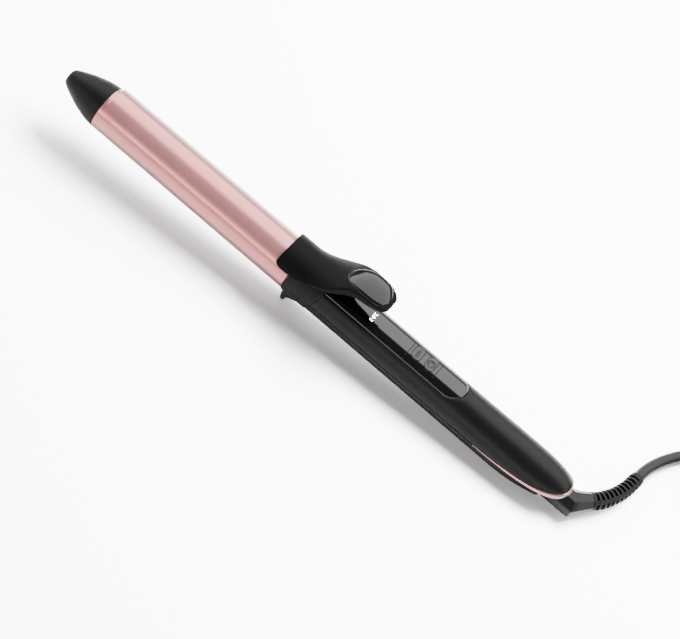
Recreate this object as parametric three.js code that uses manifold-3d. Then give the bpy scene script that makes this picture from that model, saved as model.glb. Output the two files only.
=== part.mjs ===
// Curling iron with a spring clamp, a swivel cord and a free cord, as separate solids in millimetres.
// Built along the barrel's axis (+X from the tip to the cord, +Z up), then tilted onto its foot.
import * as THREE from "three";
import { mergeVertices } from "three/addons/utils/BufferGeometryUtils.js";
import Module from "manifold-3d";

const wasm = await Module();
wasm.setup();

// ---- driving dimensions ----
const TILT = 4.5;           // degrees that the barrel points up at the tip when the iron rests on its foot
const REST_X = 298;         // where the handle's underside touches the table
const REST_Z = -12.45;
const TIP_L = 24;           // cool tip
const BARREL_R = 12.5;      // 25 mm barrel
const BARREL_WALL = 1.0;
const BARREL_END = 158;
const CLAMP_R = 13.6;       // outside of the clamp plate
const CLAMP_WALL = 0.8;
const CLAMP_X0 = 25.6;
const CLAMP_X1 = 150;
const CLAMP_HALF = 59;      // degrees each side of the top
const COLLAR_X0 = 153.9;
const COLLAR_R = 13.0;
const SEAM_X = 171.5;       // joint of collar and handle at the axis
const SEAM_LEAN = 0.28;     // mm back for each mm up
const PIVOT_X = 165;
const PIVOT_Z = 7;
const PIN_R = 1.2;
const HANDLE_WALL = 2.6;
const PANEL_FACET_Z = 12.45; // flat top of the control panel
const PANEL_HALF = 8.0;
const PANEL_END = 262;
const BUTTON_X = [230, 238.7];
const BUTTON_W = 5.6;
const BUTTON_L = 9.6;
const BUTTON_TRAVEL = 0.6;
const TRIM_X0 = 281;
const SWIVEL_Z = -0.6;
const SWIVEL_R = 6.8;
const SWIVEL_X0 = 322.4;
const NECK_TURN = 46;       // degrees that the neck leaves toward +Y
const CORD_R = 3.2;
const COIL_R = 38;          // middle of the coil's winding
const COIL_STEP = 6.6;      // from one turn to the next
const COIL_AT = [246.0, 72.0];
const IRON_AT = [-179.9, -13.86, 35.79]; // where the iron's own origin, the tip, stands over the table
const PLUG_AT = [275.0, 75.0, 27.0];     // back of the plug, which lies across the coil
// the cord from the strain relief to the coil, then off the coil to the plug (degrees round it, radius, height)
const RUN = [
  [176.38, 27.64, 7.1], [177.0, 33.2, 6.6], [178.6, 40.2, 5.7], [181.2, 47.4, 4.9], [184.7, 54.6, 4.2],
  [189.1, 61.6, 3.6], [194.1, 68.4, 3.3], [199.1, 75.2, 3.3], [203.6, 82.1, 3.3], [207.4, 89.2, 3.3],
];
const RUN_CUT = [...RUN.slice(4), [208.2, 90.9, 3.3]];
const TAIL = [
  [124, 37.6, 17.2], [108, 37.0, 18.6], [93, 36.2, 20.4], [79, 35.2, 22.3], [65, 34.0, 24.0], [51, 32.8, 25.4],
  [38, 31.6, 26.4], [25, 30.5, 26.9], [13, 29.6, 27.0], [7.1, 29.22, 27.0],
];
const GAP = 0.3;

// ---- helpers ----
function solid(geometry) {
  geometry.deleteAttribute("normal");
  geometry.deleteAttribute("uv");
  const g = mergeVertices(geometry, 1e-4);
  const p = g.attributes.position, idx = g.index.array;
  let vol = 0;
  const a = new THREE.Vector3(), b = new THREE.Vector3(), c = new THREE.Vector3();
  for (let i = 0; i < idx.length; i += 3) {
    a.fromBufferAttribute(p, idx[i]);
    b.fromBufferAttribute(p, idx[i + 1]);
    c.fromBufferAttribute(p, idx[i + 2]);
    vol += a.dot(b.cross(c));
  }
  const tri = [];
  for (let i = 0; i < idx.length; i += 3) {
    if (idx[i] === idx[i + 1] || idx[i + 1] === idx[i + 2] || idx[i] === idx[i + 2]) continue;
    if (vol > 0) tri.push(idx[i], idx[i + 1], idx[i + 2]);
    else tri.push(idx[i], idx[i + 2], idx[i + 1]);
  }
  const mesh = new wasm.Mesh({
    numProp: 3, vertProperties: new Float32Array(p.array), triVerts: new Uint32Array(tri),
  });
  return new wasm.Manifold(mesh);
}

function toGeometry(m) {
  const mesh = m.getMesh();
  const g = new THREE.BufferGeometry();
  g.setAttribute("position", new THREE.BufferAttribute(new Float32Array(mesh.vertProperties), 3));
  g.setIndex(new THREE.BufferAttribute(new Uint32Array(mesh.triVerts), 1));
  g.computeVertexNormals();
  return g;
}

function put(group, name, m, color, roughness, metalness = 0) {
  const mat = new THREE.MeshStandardMaterial({ color, roughness, metalness });
  const mesh = new THREE.Mesh(toGeometry(m), mat);
  mesh.name = name;
  group.add(mesh);
  return mesh;
}

// A solid of revolution about X: profile is a closed list of [x, r].
function lathe(profile, seg = 48, z = 0) {
  const pts = profile.map(([x, r]) => new THREE.Vector2(Math.max(r, 0), x));
  if (pts[0].x > 0 || pts[pts.length - 1].x > 0) pts.push(pts[0].clone());
  const g = new THREE.LatheGeometry(pts, seg);
  g.rotateZ(-Math.PI / 2);
  g.translate(0, 0, z);
  return solid(g);
}

function tube(x0, x1, rOut, rIn, seg = 40, z = 0) {
  return rIn > 0 ? lathe([[x0, rIn], [x0, rOut], [x1, rOut], [x1, rIn]], seg, z)
    : lathe([[x0, 0], [x0, rOut], [x1, rOut], [x1, 0]], seg, z);
}

function box(x0, x1, y0, y1, z0, z1) {
  const g = new THREE.BoxGeometry(x1 - x0, y1 - y0, z1 - z0);
  g.translate((x0 + x1) / 2, (y0 + y1) / 2, (z0 + z1) / 2);
  return solid(g);
}

function cyl(axis, r, from, to, cx, cy, cz, seg = 24) {
  const g = new THREE.CylinderGeometry(r, r, to - from, seg);
  if (axis === "x") g.rotateZ(Math.PI / 2).translate((from + to) / 2, cy, cz);
  else if (axis === "y") g.translate(cx, (from + to) / 2, cz);
  else g.rotateX(Math.PI / 2).translate(cx, cy, (from + to) / 2);
  return solid(g);
}

// Closed loops of the same number of [x, y, z] points, joined in order and capped at both ends.
function loft(loops) {
  const n = loops[0].length, pos = [], idx = [];
  for (const l of loops) for (const q of l) pos.push(...q);
  for (let k = 0; k + 1 < loops.length; k++)
    for (let i = 0; i < n; i++) {
      const a = k * n + i, b = k * n + ((i + 1) % n), c = a + n, d = b + n;
      idx.push(a, b, d, a, d, c);
    }
  for (const [k, flip] of [[0, true], [loops.length - 1, false]]) {
    const flat = loops[k].map((q) => new THREE.Vector2(q[1], q[2]));
    for (const f of THREE.ShapeUtils.triangulateShape(flat, [])) {
      const [a, b, c] = f.map((v) => v + k * n);
      const ccw = !THREE.ShapeUtils.isClockWise(flat);
      if (flip === ccw) idx.push(a, c, b);
      else idx.push(a, b, c);
    }
  }
  const g = new THREE.BufferGeometry();
  g.setAttribute("position", new THREE.Float32BufferAttribute(pos, 3));
  g.setIndex(idx);
  return solid(g);
}

// A flat outline pushed along Y (points are [x, z]) or along Z (points are [x, y]).
function slabY(points, y0, y1) {
  const s = new THREE.Shape(points.map(([x, z]) => new THREE.Vector2(x, z)));
  const g = new THREE.ExtrudeGeometry(s, { depth: y1 - y0, bevelEnabled: false, curveSegments: 1 });
  g.rotateX(Math.PI / 2).translate(0, y1, 0);
  return solid(g);
}
function slabZ(points, z0, z1) {
  const s = new THREE.Shape(points.map(([x, y]) => new THREE.Vector2(x, y)));
  const g = new THREE.ExtrudeGeometry(s, { depth: z1 - z0, bevelEnabled: false, curveSegments: 1 });
  g.translate(0, 0, z0);
  return solid(g);
}

// A round tube along points, radius a number or a function of 0..1 along it.
function sweep(points, radius, steps, seg = 10, straight = false) {
  const v = points.map((q) => new THREE.Vector3(...q));
  const curve = straight ? new THREE.CurvePath() : new THREE.CatmullRomCurve3(v, false, "centripetal");
  const at = (t) => curve.getPoint(t), dir = (t) => curve.getTangent(t);
  const up = new THREE.Vector3(0, 0, 1), pos = [], idx = [];
  for (let k = 0; k <= steps; k++) {
    const t = k / steps, c = at(t), d = dir(t).normalize();
    let side = new THREE.Vector3().crossVectors(d, up);
    if (side.length() < 1e-3) side.set(0, 1, 0);
    side.normalize();
    const top = new THREE.Vector3().crossVectors(side, d).normalize();
    const r = typeof radius === "function" ? radius(t) : radius;
    for (let i = 0; i < seg; i++) {
      const w = (2 * Math.PI * (i + 0.5)) / seg;
      pos.push(...c.clone().addScaledVector(side, r * Math.cos(w)).addScaledVector(top, r * Math.sin(w)));
    }
  }
  for (let k = 0; k < steps; k++)
    for (let i = 0; i < seg; i++) {
      const a = k * seg + i, b = k * seg + ((i + 1) % seg);
      idx.push(a, b, b + seg, a, b + seg, a + seg);
    }
  for (let i = 1; i + 1 < seg; i++) {
    idx.push(0, i + 1, i);
    const e = steps * seg;
    idx.push(e, e + i, e + i + 1);
  }
  const g = new THREE.BufferGeometry();
  g.setAttribute("position", new THREE.Float32BufferAttribute(pos, 3));
  g.setIndex(idx);
  return solid(g);
}

const lerpTable = (table, x) => {
  let k = 1;
  while (k < table.length - 1 && table[k][0] < x) k++;
  const a = table[k - 1], b = table[k], t = Math.min(1, Math.max(0, (x - a[0]) / (b[0] - a[0])));
  return a.map((v, i) => v + (b[i] - v) * t);
};

// ---- barrel side ----
function tipCap() {
  return lathe([[-1.5, 0], [-1.5, 2.7], [-1.2, 3.15], [-0.6, 3.95], [0.6, 5.0], [2.6, 6.25], [5.2, 7.55],
    [8.2, 8.8], [11.2, 9.85], [14.0, 10.75], [16.8, 11.5], [20, 12.1], [TIP_L - 0.3, 12.5], [TIP_L - 0.3, 11.2],
    [TIP_L + 8, 11.1], [TIP_L + 8, 9.2], [20, 9.2], [9, 6.2], [7, 0]], 40);
}
function barrelTube() {
  const R = BARREL_R, i = R - BARREL_WALL;
  return lathe([[TIP_L, i], [TIP_L, R - 0.25], [TIP_L + 0.25, R], [COLLAR_X0 - 0.5, R],
    [COLLAR_X0 - 0.3, R - 0.6], [BARREL_END, R - 0.6], [BARREL_END, i - 0.6], [COLLAR_X0, i - 0.6],
    [COLLAR_X0 - 0.6, i]], 56);
}
function barrelMount() {
  return lathe([[147, 5.2], [147, 10.6], [COLLAR_X0 + 4.4, 10.6], [COLLAR_X0 + 4.4, 11.7],
    [160.2, 11.7], [160.2, 5.2]], 40);
}
function spreader(sign) {
  const r = 11.2, pts = [];
  for (let k = 0; k <= 14; k++) {
    const a = Math.asin(1.9 / r) + (k / 14) * (Math.PI - 2 * Math.asin(1.9 / r));
    pts.push([r * Math.cos(a), sign * r * Math.sin(a)]);
  }
  const loop = (x) => pts.map(([y, z]) => [x, y, z]);
  const groove = cyl("x", 2.2, 30, 146, 0, 0, sign * 7.0, 12);
  return loft([loop(36), loop(140)]).subtract(groove);
}
function heaterPlate() {
  return box(44, 128, -7.5, 7.5, -1.4, 1.4);
}
function sensor() {
  return cyl("x", 1.7, 96, 112, 0, 0, 7.0, 12);
}

// ---- clamp and lever ----
function arcBand(x, rOut, rIn, halfDeg, n = 20) {
  const out = [], inn = [];
  for (let k = 0; k <= n; k++) {
    const t = THREE.MathUtils.degToRad(-halfDeg + (2 * halfDeg * k) / n);
    out.push([x, rOut * Math.sin(t), rOut * Math.cos(t)]);
    inn.unshift([x, rIn * Math.sin(t), rIn * Math.cos(t)]);
  }
  return out.concat(inn);
}
function clampPlate() {
  const loops = [];
  const front = [[0, 34], [0.6, 42], [1.6, 48], [3.2, 53.5], [5.5, 57.5], [8, CLAMP_HALF]];
  for (const [d, h] of front) loops.push(arcBand(CLAMP_X0 + d, CLAMP_R, CLAMP_R - CLAMP_WALL, h));
  loops.push(arcBand(90, CLAMP_R, CLAMP_R - CLAMP_WALL, CLAMP_HALF));
  loops.push(arcBand(CLAMP_X1, CLAMP_R, CLAMP_R - CLAMP_WALL, CLAMP_HALF));
  let m = loft(loops);
  for (const x of [146.6, 149.0]) m = m.subtract(cyl("z", 0.9, 10, 16, x, x < 148 ? -4 : 4, 0, 12));
  return m;
}
// x, outer radius, outer half width, inner radius, inner half width of the lever's section
const LEVER = [
  [144.3, 16.0, 12.1, 13.95, 11.3], [145.2, 16.2, 12.9, 13.95, 11.7], [146.8, 16.2, 13.45, 13.95, 11.9],
  [149.5, 16.2, 13.7, 13.95, 11.9], [157, 16.3, 13.45, 13.95, 11.5], [161, 17.0, 13.3, 14.3, 11.2],
  [166, 18.8, 13.2, 15.1, 10.9], [171, 21.4, 13.0, 18.4, 12.4], [176.4, 25.0, 12.2, 20.7, 11.9],
  [180, 27.9, 11.2, 22.1, 10.9], [184, 30.1, 10.3, 24.5, 10.0], [189, 31.4, 9.8, 26.7, 9.5],
  [195, 31.4, 9.4, 27.2, 9.1], [199, 31.0, 8.7, 27.3, 8.4], [202, 30.2, 7.5, 27.35, 7.3],
  [204, 29.3, 5.8, 27.4, 5.6], [205, 28.7, 4.4, 27.6, 4.3],
];
function leverLoop(x, dOut = 0, dIn = 0, dW = 0) {
  const [, ro, wo, ri, wi] = lerpTable(LEVER, x);
  const n = 20, out = [], inn = [];
  for (let k = 0; k <= n; k++) {
    const f = -1 + (2 * k) / n;
    const a = Math.asin(Math.min(1, (wo + dW) / (ro + dOut))) * f;
    const b = Math.asin(Math.min(1, (wi + dW) / (ri + dIn))) * f;
    out.push([x, (ro + dOut) * Math.sin(a), (ro + dOut) * Math.cos(a)]);
    inn.unshift([x, (ri + dIn) * Math.sin(b), (ri + dIn) * Math.cos(b)]);
  }
  return out.concat(inn);
}
function padOutline(grow) {
  const pts = [], cx = 193, n = 40;
  for (let k = 0; k < n; k++) {
    const t = (2 * Math.PI * k) / n, c = Math.cos(t), s = Math.sin(t);
    const ax = (c < 0 ? 14.6 : 11.6) + grow;
    const p = c < 0 ? 1 : 0.85;
    pts.push([cx + Math.sign(c) * Math.pow(Math.abs(c), p) * ax, s * (7.9 + grow) * (c > 0 ? 1 - 0.12 * c : 1)]);
  }
  return pts;
}
function lever() {
  let m = loft(LEVER.map((q) => leverLoop(q[0])));
  const xs = [176.4, 180, 184, 189, 196, 200, 202.6, 206];
  const cut = loft(xs.map((x) => arcBand(x, lerpTable(LEVER, Math.min(x, 203))[1] + 3,
    lerpTable(LEVER, Math.min(x, 203))[1] - 1.5, 25, 14)));
  m = m.subtract(cut.intersect(slabZ(padOutline(GAP), 10, 40)));
  for (const s of [-1, 1]) {
    const lug = slabY([[162.4, 4.4], [167.6, 4.4], [168.4, 16.2], [161.6, 15.4]], s * 6 - 1, s * 6 + 1);
    m = m.add(lug);
  }
  m = m.subtract(cyl("y", PIN_R + 0.1, -8, 8, PIVOT_X, 0, PIVOT_Z, 20));
  for (const x of [146.6, 149.0]) m = m.subtract(cyl("z", 0.9, 10, 15, x, x < 148 ? -4 : 4, 0, 12));
  return m;
}
function thumbPad() {
  const xs = [176.4, 180, 184, 189, 196, 200, 202.6, 206];
  const band = loft(xs.map((x) => arcBand(x, lerpTable(LEVER, Math.min(x, 203))[1] + 0.25,
    lerpTable(LEVER, Math.min(x, 203))[1] - 1.2, 25, 14)));
  const top = band.intersect(slabZ(padOutline(0), 10, 40));
  const lip = slabZ([[204.0, -2.9], [205.6, -2.4], [205.6, 2.4], [204.0, 2.9]], 29.15, 29.9);
  return top.add(lip);
}
function clampRivet(x, y) {
  return cyl("z", 0.8, 12.4, 14.6, x, y, 0, 12).intersect(tube(140, 155, 14.9, 12.95, 40));
}
function clampSpring() {
  const pts = [], r = 2.3;
  pts.push([171.2, 2.4, 16.4], [168.6, 2.4, 12.6]);
  const turns = 3.6, n = 44;
  for (let k = 0; k <= n; k++) {
    const a = 0.55 + (2 * Math.PI * turns * k) / n;
    pts.push([PIVOT_X + r * Math.cos(a), 2.4 - (4.8 * k) / n, PIVOT_Z + r * Math.sin(a)]);
  }
  pts.push([169.2, -2.4, 4.4], [172.6, -2.4, 2.2]);
  return sweepFrame(pts, 0.42, 96, 5);
}
// As sweep, with a frame carried along so that a coiled path never flips it.
function sweepFrame(points, radius, steps, seg) {
  const curve = new THREE.CatmullRomCurve3(points.map((q) => new THREE.Vector3(...q)), false, "centripetal");
  const pos = [], idx = [];
  let side = null;
  for (let k = 0; k <= steps; k++) {
    const c = curve.getPointAt(k / steps), d = curve.getTangentAt(k / steps).normalize();
    if (!side) side = new THREE.Vector3(0, 1, 0).cross(d).normalize();
    side = side.clone().addScaledVector(d, -side.dot(d)).normalize();
    const top = new THREE.Vector3().crossVectors(side, d);
    for (let i = 0; i < seg; i++) {
      const w = (2 * Math.PI * i) / seg;
      pos.push(...c.clone().addScaledVector(side, radius * Math.cos(w)).addScaledVector(top, radius * Math.sin(w)));
    }
  }
  for (let k = 0; k < steps; k++)
    for (let i = 0; i < seg; i++) {
      const a = k * seg + i, b = k * seg + ((i + 1) % seg);
      idx.push(a, b, b + seg, a, b + seg, a + seg);
    }
  for (let i = 1; i + 1 < seg; i++) {
    idx.push(0, i + 1, i);
    idx.push(steps * seg, steps * seg + i, steps * seg + i + 1);
  }
  const g = new THREE.BufferGeometry();
  g.setAttribute("position", new THREE.Float32BufferAttribute(pos, 3));
  g.setIndex(idx);
  return solid(g);
}
function hingePin() {
  return cyl("y", PIN_R, -9.2, 9.2, PIVOT_X, 0, PIVOT_Z, 20);
}

// ---- collar with its foot ----
const tableZ = (x) => REST_Z - (REST_X - x) * Math.tan(THREE.MathUtils.degToRad(TILT));
function behindSeam(offset) {
  const x = (z) => SEAM_X + offset + SEAM_LEAN * z;
  return slabY([[x(-40), -40], [400, -40], [400, 40], [x(40), 40]], -30, 30);
}
function collar() {
  let m = lathe([[COLLAR_X0, 12.2], [COLLAR_X0, COLLAR_R - 0.2], [COLLAR_X0 + 0.2, COLLAR_R],
    [178, COLLAR_R], [178, 11.0], [161, 11.0], [160.4, 12.2]], 48);
  for (const s of [-1, 1]) {
    const boss = box(161.4, 168.6, s > 0 ? 7.4 : -9.9, s > 0 ? 9.9 : -7.4, 3.6, 10);
    m = m.add(boss.intersect(tube(150, 180, 12.6, 0, 48)));
  }
  const foot = slabY([[154.1, -11.9], [154.5, -18], [154.7, tableZ(154.7)], [157.1, tableZ(157.1)],
    [158.2, -18.5], [160.4, -15.2], [165.5, -12.6], [165.5, -11.9]], -8, 8);
  const taper = loft([150, 170].map((x) => [[x, -8, -11], [x, -3.6, -24.5], [x, 3.6, -24.5], [x, 8, -11]]));
  m = m.add(foot.intersect(taper));
  m = m.subtract(tube(150, 160.4, 12.2, 0, 48)).subtract(tube(150, 180, 11.0, 0, 48).subtract(
    box(161.4, 168.6, -12, 12, 3.6, 10)));
  m = m.subtract(box(161.5, 168.5, -7.4, 7.4, 3.0, 10.4));
  m = m.subtract(box(160.4, 171.6, -7.4, 7.4, 5.5, 20));
  m = m.subtract(cyl("y", PIN_R + 0.1, -9.35, 9.35, PIVOT_X, 0, PIVOT_Z, 20));
  return m.subtract(behindSeam(0));
}

// ---- handle ----
// x, half width at the parting line, height above it
const TOP_SHELL = [
  [160, 12.6, 12.6], [262, 12.6, 12.6], [290, 12.8, 12.6], [305, 12.9, 12.5], [316, 12.6, 12.3],
  [322, 12.0, 11.9], [325.6, 11.3, 11.3], [328.6, 10.4, 10.6], [331, 9.35, 9.7], [332.8, 8.1, 8.5],
  [334, 6.7, 7.1], [334.8, 5.2, 5.4], [335.3, 3.6, 3.8],
];
const LOW_SHELL = [
  [160, 12.55, 12.55], [262, 12.55, 12.55], [285, 12.6, 12.5], [297, 12.5, 12.46], [303, 12.2, 12.1],
  [309, 11.5, 11.4], [315, 10.5, 10.4], [320, 9.4, 9.3], [322.2, 8.9, 8.8],
];
function shellLoop(table, x, inset = 0, n = 56) {
  const [, a, h] = lerpTable(table, x);
  const loop = [];
  for (let k = 0; k < n; k++) {
    const t = (2 * Math.PI * (k + 0.5)) / n;
    loop.push([x, (a - inset) * Math.sin(t), (h - inset) * Math.cos(t)]);
  }
  return loop;
}
const shellLoft = (table, inset = 0, end = 1e9, start = 0) => loft(table.filter((q) => q[0] > start && q[0] < end)
  .map((q) => q[0]).concat(end < 1e9 ? [end] : []).map((x) => shellLoop(table, x, inset)));
// the trim band's middle height and width along the handle
const trimMid = (x) => 7.0 * Math.pow(Math.max(0, (x - TRIM_X0) / 53), 1.9);
const trimWide = (x) => 0.3 + 1.9 * Math.pow(Math.max(0, Math.min(1, (x - TRIM_X0) / 50)), 1.1);
function edgeLine(side, gap) {
  const pts = [];
  for (let x = TRIM_X0; x <= 337.1; x += 4) pts.push([x, trimMid(x) + side * (trimWide(x) / 2) + gap]);
  return pts;
}
function aboveTrim() {
  const e = edgeLine(1, 0.12);
  return slabY([[150, 0.1], [TRIM_X0 - 0.4, 0.1], ...e, [345, 30], [150, 30]], -20, 20);
}
function belowTrim() {
  const e = edgeLine(-1, -0.12);
  return slabY([[150, -0.1], [TRIM_X0 - 0.4, -0.1], ...e, [345, -30], [150, -30]], -20, 20);
}
function trimZone() {
  const up = edgeLine(1, 0), dn = edgeLine(-1, 0).reverse();
  return slabY([[TRIM_X0 - 0.2, 0.05], ...up, ...dn, [TRIM_X0 - 0.2, -0.05]], -20, 20);
}
const swivelHole = () => cyl("x", SWIVEL_R + 0.6, 321.6, 350, 0, 0, SWIVEL_Z, 40)
  .add(cyl("x", 3.95, 318, 325, 0, 0, SWIVEL_Z, 24));
function panelOutline(grow) {
  const pts = [[160, -PANEL_HALF - grow]], n = 12, ax = 9.0;
  for (let k = 0; k <= n; k++) {
    const t = -Math.PI / 2 + (Math.PI * k) / n;
    pts.push([PANEL_END - ax + (ax + grow) * Math.cos(t), (PANEL_HALF + grow) * Math.sin(t)]);
  }
  pts.push([160, PANEL_HALF + grow]);
  return pts;
}
function handleTop() {
  let m = shellLoft(TOP_SHELL).subtract(shellLoft(TOP_SHELL, HANDLE_WALL, 321));
  m = m.subtract(slabZ(panelOutline(0.25), 4, 20).subtract(tube(150, 280, 10.75, 0, 56)));
  m = m.subtract(box(193, 209, -6, 6, 4, 14)).subtract(box(224, 245, -6, 6, 4, 14));
  for (const x of [215.5, 252]) m = m.add(cyl("z", 2.3, 6.25, 10.2, x, 0, 0, 20));
  for (const x of [183, 272]) m = m.add(cyl("z", 3.0, 0.4, 10.2, x, 0, 0, 20));
  for (const x of [215.5, 252]) m = m.subtract(cyl("z", 1.15, 5, 9.4, x, 0, 0, 16));
  for (const x of [183, 272]) m = m.subtract(cyl("z", 1.45, 0, 8.4, x, 0, 0, 16));
  return m.intersect(behindSeam(0.3)).intersect(aboveTrim()).subtract(swivelHole());
}
function handleBottom() {
  let m = shellLoft(LOW_SHELL).subtract(shellLoft(LOW_SHELL, HANDLE_WALL, 318.5));
  for (const x of [183, 272]) m = m.add(cyl("z", 4.0, -11.5, -0.4, x, 0, 0, 20));
  for (const x of [183, 272]) {
    m = m.subtract(cyl("z", 2.7, -14, -7.6, x, 0, 0, 20)).subtract(cyl("z", 1.45, -8, 1, x, 0, 0, 16));
  }
  m = m.intersect(behindSeam(0.3)).intersect(belowTrim()).subtract(swivelHole());
  const table = slabY([[150, tableZ(150) + 0.02], [345, tableZ(345) + 0.02], [345, -40], [150, -40]], -20, 20);
  return m.subtract(table);
}
function trimBand() {
  const rows = [];
  for (const [x] of LOW_SHELL) if (x > 262) rows.push(x);
  const inner = loft([262, 285, 297, 303, 309, 315, 320, 326, 330, 340].map((x) =>
    shellLoop(LOW_SHELL, Math.min(x, 322), 1.5).map(([, y, z]) => [x, y, z])));
  const m = shellLoft(TOP_SHELL, -0.04, 1e9, 200).subtract(inner);
  return m.intersect(trimZone()).subtract(swivelHole());
}
function panel() {
  const skin = tube(165, PANEL_END, 12.95, 11.0, 72);
  const flat = box(150, 280, -20, 20, 0, PANEL_FACET_Z);
  let m = skin.intersect(flat).intersect(slabZ(panelOutline(0), 4, 20)).intersect(behindSeam(0.3));
  for (const x of BUTTON_X) m = m.subtract(slabZ(stadium(x, 0.2), 8, 20));
  return m;
}
function stadium(cx, grow) {
  const r = BUTTON_W / 2 + grow, h = BUTTON_L / 2 - BUTTON_W / 2, pts = [];
  for (let k = 0; k <= 8; k++) pts.push([cx + r * Math.cos((Math.PI * k) / 8), h + r * Math.sin((Math.PI * k) / 8)]);
  for (let k = 0; k <= 8; k++) pts.push([cx - r * Math.cos((Math.PI * k) / 8), -h - r * Math.sin((Math.PI * k) / 8)]);
  return pts;
}
function button(x) {
  return slabZ(stadium(x, 0), 9.2, PANEL_FACET_Z + 0.06).add(slabZ(stadium(x, 0.5), 8.7, 9.25));
}

// ---- inside the handle ----
function circuitBoard() {
  let m = box(190, 258, -7, 7, 4.4, 6.0);
  for (const x of [215.5, 252]) m = m.subtract(cyl("z", 1.4, 3, 8, x, 0, 0, 16));
  return m;
}
function boardScrew(x) {
  return cyl("z", 1.0, 3.0, 9.2, x, 0, 0, 16).add(cyl("z", 2.0, 2.8, 4.2, x, 0, 0, 20));
}
function shellScrew(x) {
  return cyl("z", 1.3, -8.0, 8.2, x, 0, 0, 16).add(cyl("z", 2.5, -9.4, -7.8, x, 0, 0, 20));
}
function tactSwitch(x) {
  return box(x - 2.8, x + 2.8, -2.8, 2.8, 6.1, 7.4).add(cyl("z", 1.5, 7.3, 8.0, x, 0, 0, 16));
}
function displayModule() {
  return box(196, 207, -4.4, 4.4, 6.1, 9.7);
}
function powerModule() {
  const fins = [];
  let m = box(200, 211, -5, 5, -1.2, 4.2);
  for (let k = 0; k < 4; k++) fins.push(box(201.2 + k * 2.5, 202.4 + k * 2.5, -6, 6, -3, 0));
  for (const f of fins) m = m.subtract(f);
  return m;
}
function capacitor() {
  return cyl("z", 4.0, -4.2, 4.2, 232, 0, 0, 24);
}
function fuse() {
  return cyl("x", 2.0, 237.6, 248, 0, -2.6, 1.6, 16);
}

// ---- swivel and strain relief ----
const turnY = (x, y, deg) => {
  const a = THREE.MathUtils.degToRad(deg);
  return [x * Math.cos(a) - y * Math.sin(a), x * Math.sin(a) + y * Math.cos(a)];
};
const NECK_X = 336.8;       // where the neck's axis leaves the swivel's own axis
function octagon(r) {
  return [...Array(8)].map((_, k) => [r * Math.cos(Math.PI * (k + 0.5) / 4), r * Math.sin(Math.PI * (k + 0.5) / 4)]);
}
// an octagonal barrel with its end cut to a mitre, and the narrowing octagonal neck that leaves from it
function swivelHead() {
  const lean = Math.tan(THREE.MathUtils.degToRad(NECK_TURN / 2));
  const ring = (x, k) => octagon(SWIVEL_R * 1.05 * k).map(([y, z]) => [x, y, z + SWIVEL_Z]);
  const rings = [ring(SWIVEL_X0, 0.95), ring(SWIVEL_X0 + 0.4, 1),
    octagon(SWIVEL_R * 1.05).map(([y, z]) => [NECK_X - y * lean, y, z + SWIVEL_Z])];
  for (const [d, k] of [[4, 0.9], [8.5, 0.79], [12.35, 0.7]]) {
    const slope = lean * Math.max(0, 1 - d / 9);
    rings.push(octagon(SWIVEL_R * 1.05 * k).map(([y, z]) => {
      const [x2, y2] = turnY(d + y * slope, y, NECK_TURN);
      return [NECK_X + x2, y2, z + SWIVEL_Z];
    }));
  }
  return loft(rings).add(tube(291, SWIVEL_X0 + 0.5, 3.6, 0, 24, SWIVEL_Z));
}
const RELIEF = [
  [345.62, 9.33], [347.0, 10.8], [348.9, 13.2], [350.9, 16.6], [353.2, 21.2], [355.0, 26.2], [356.2, 31.4], [356.9, 36.6],
  [357.4, 41.0],
];
function strainRelief() {
  const pts = RELIEF.map(([x, y]) => [x, y, SWIVEL_Z]);
  const rib = (t) => 4.9 - 1.1 * t - (t > 0.06 && t < 0.94 && Math.round(t * 44) % 4 === 1 ? 0.5 : 0);
  return sweep(pts, rib, 44, 16);
}
function slipRing(x) {
  return tube(x, x + 3, 5.0, 3.7, 24, SWIVEL_Z);
}
function brush(x, s) {
  return box(x, x + 2.4, s * 7.0 - 1.6, s * 7.0 + 1.6, SWIVEL_Z - 1.5, SWIVEL_Z + 1.5);
}
function swivelClip() {
  return tube(306, 307.2, 5.4, 3.7, 24, SWIVEL_Z);
}
function swivelBush() {
  return lathe([[309, 3.85], [309, 6.4], [311, 6.4], [311, 7.3], [313, 7.3], [313, 6.4], [318, 6.0], [318, 3.85]],
    32, SWIVEL_Z);
}
function heaterLead(s) {
  return sweep([[142, s * 2.4, 0], [161, s * 2.6, 0], [172, s * 4.2, -1.6], [184, s * 6.0, -3.2], [198, s * 6.4, -2.4],
    [209, s * 6.0, 0.5], [216, s * 5.2, 3.2]], 0.8, 22, 6);
}
function supplyLead(s, x1) {
  return sweep([[250, s * 5.4, 3.0], [258, s * 6.2, 0], [268, s * 7.4, -2.6], [280, s * 7.8, -3.2], [x1, s * 7.2, -2.2]],
    0.8, 16, 6);
}

// ---- assembly: the iron along its own axis, tilted onto the table ----
const iron = new THREE.Group();
iron.name = "iron";
put(iron, "tip_cap", tipCap(), 0x1c1c1d, 0.55);
put(iron, "barrel_tube", barrelTube(), 0xd9a9a5, 0.3, 0.8);
put(iron, "barrel_mount", barrelMount(), 0xd8d2c4, 0.7);
put(iron, "spreader_upper", spreader(1), 0xb8babd, 0.4, 0.8);
put(iron, "spreader_lower", spreader(-1), 0xb4b6b9, 0.4, 0.8);
put(iron, "heater_plate", heaterPlate(), 0xe6e2d8, 0.8);
put(iron, "temperature_sensor", sensor(), 0xc8a070, 0.5);
put(iron, "collar", collar(), 0x4b4b50, 0.5);
put(iron, "handle_top_shell", handleTop(), 0x222222, 0.5);
put(iron, "handle_bottom_shell", handleBottom(), 0x232324, 0.52);
put(iron, "trim_band", trimBand(), 0xd9a5a4, 0.3, 0.8);
put(iron, "control_panel", panel(), 0x0b0b0c, 0.08);
put(iron, "display_module", displayModule(), 0x303234, 0.4);
put(iron, "circuit_board", circuitBoard(), 0x1f5a35, 0.6);
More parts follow.
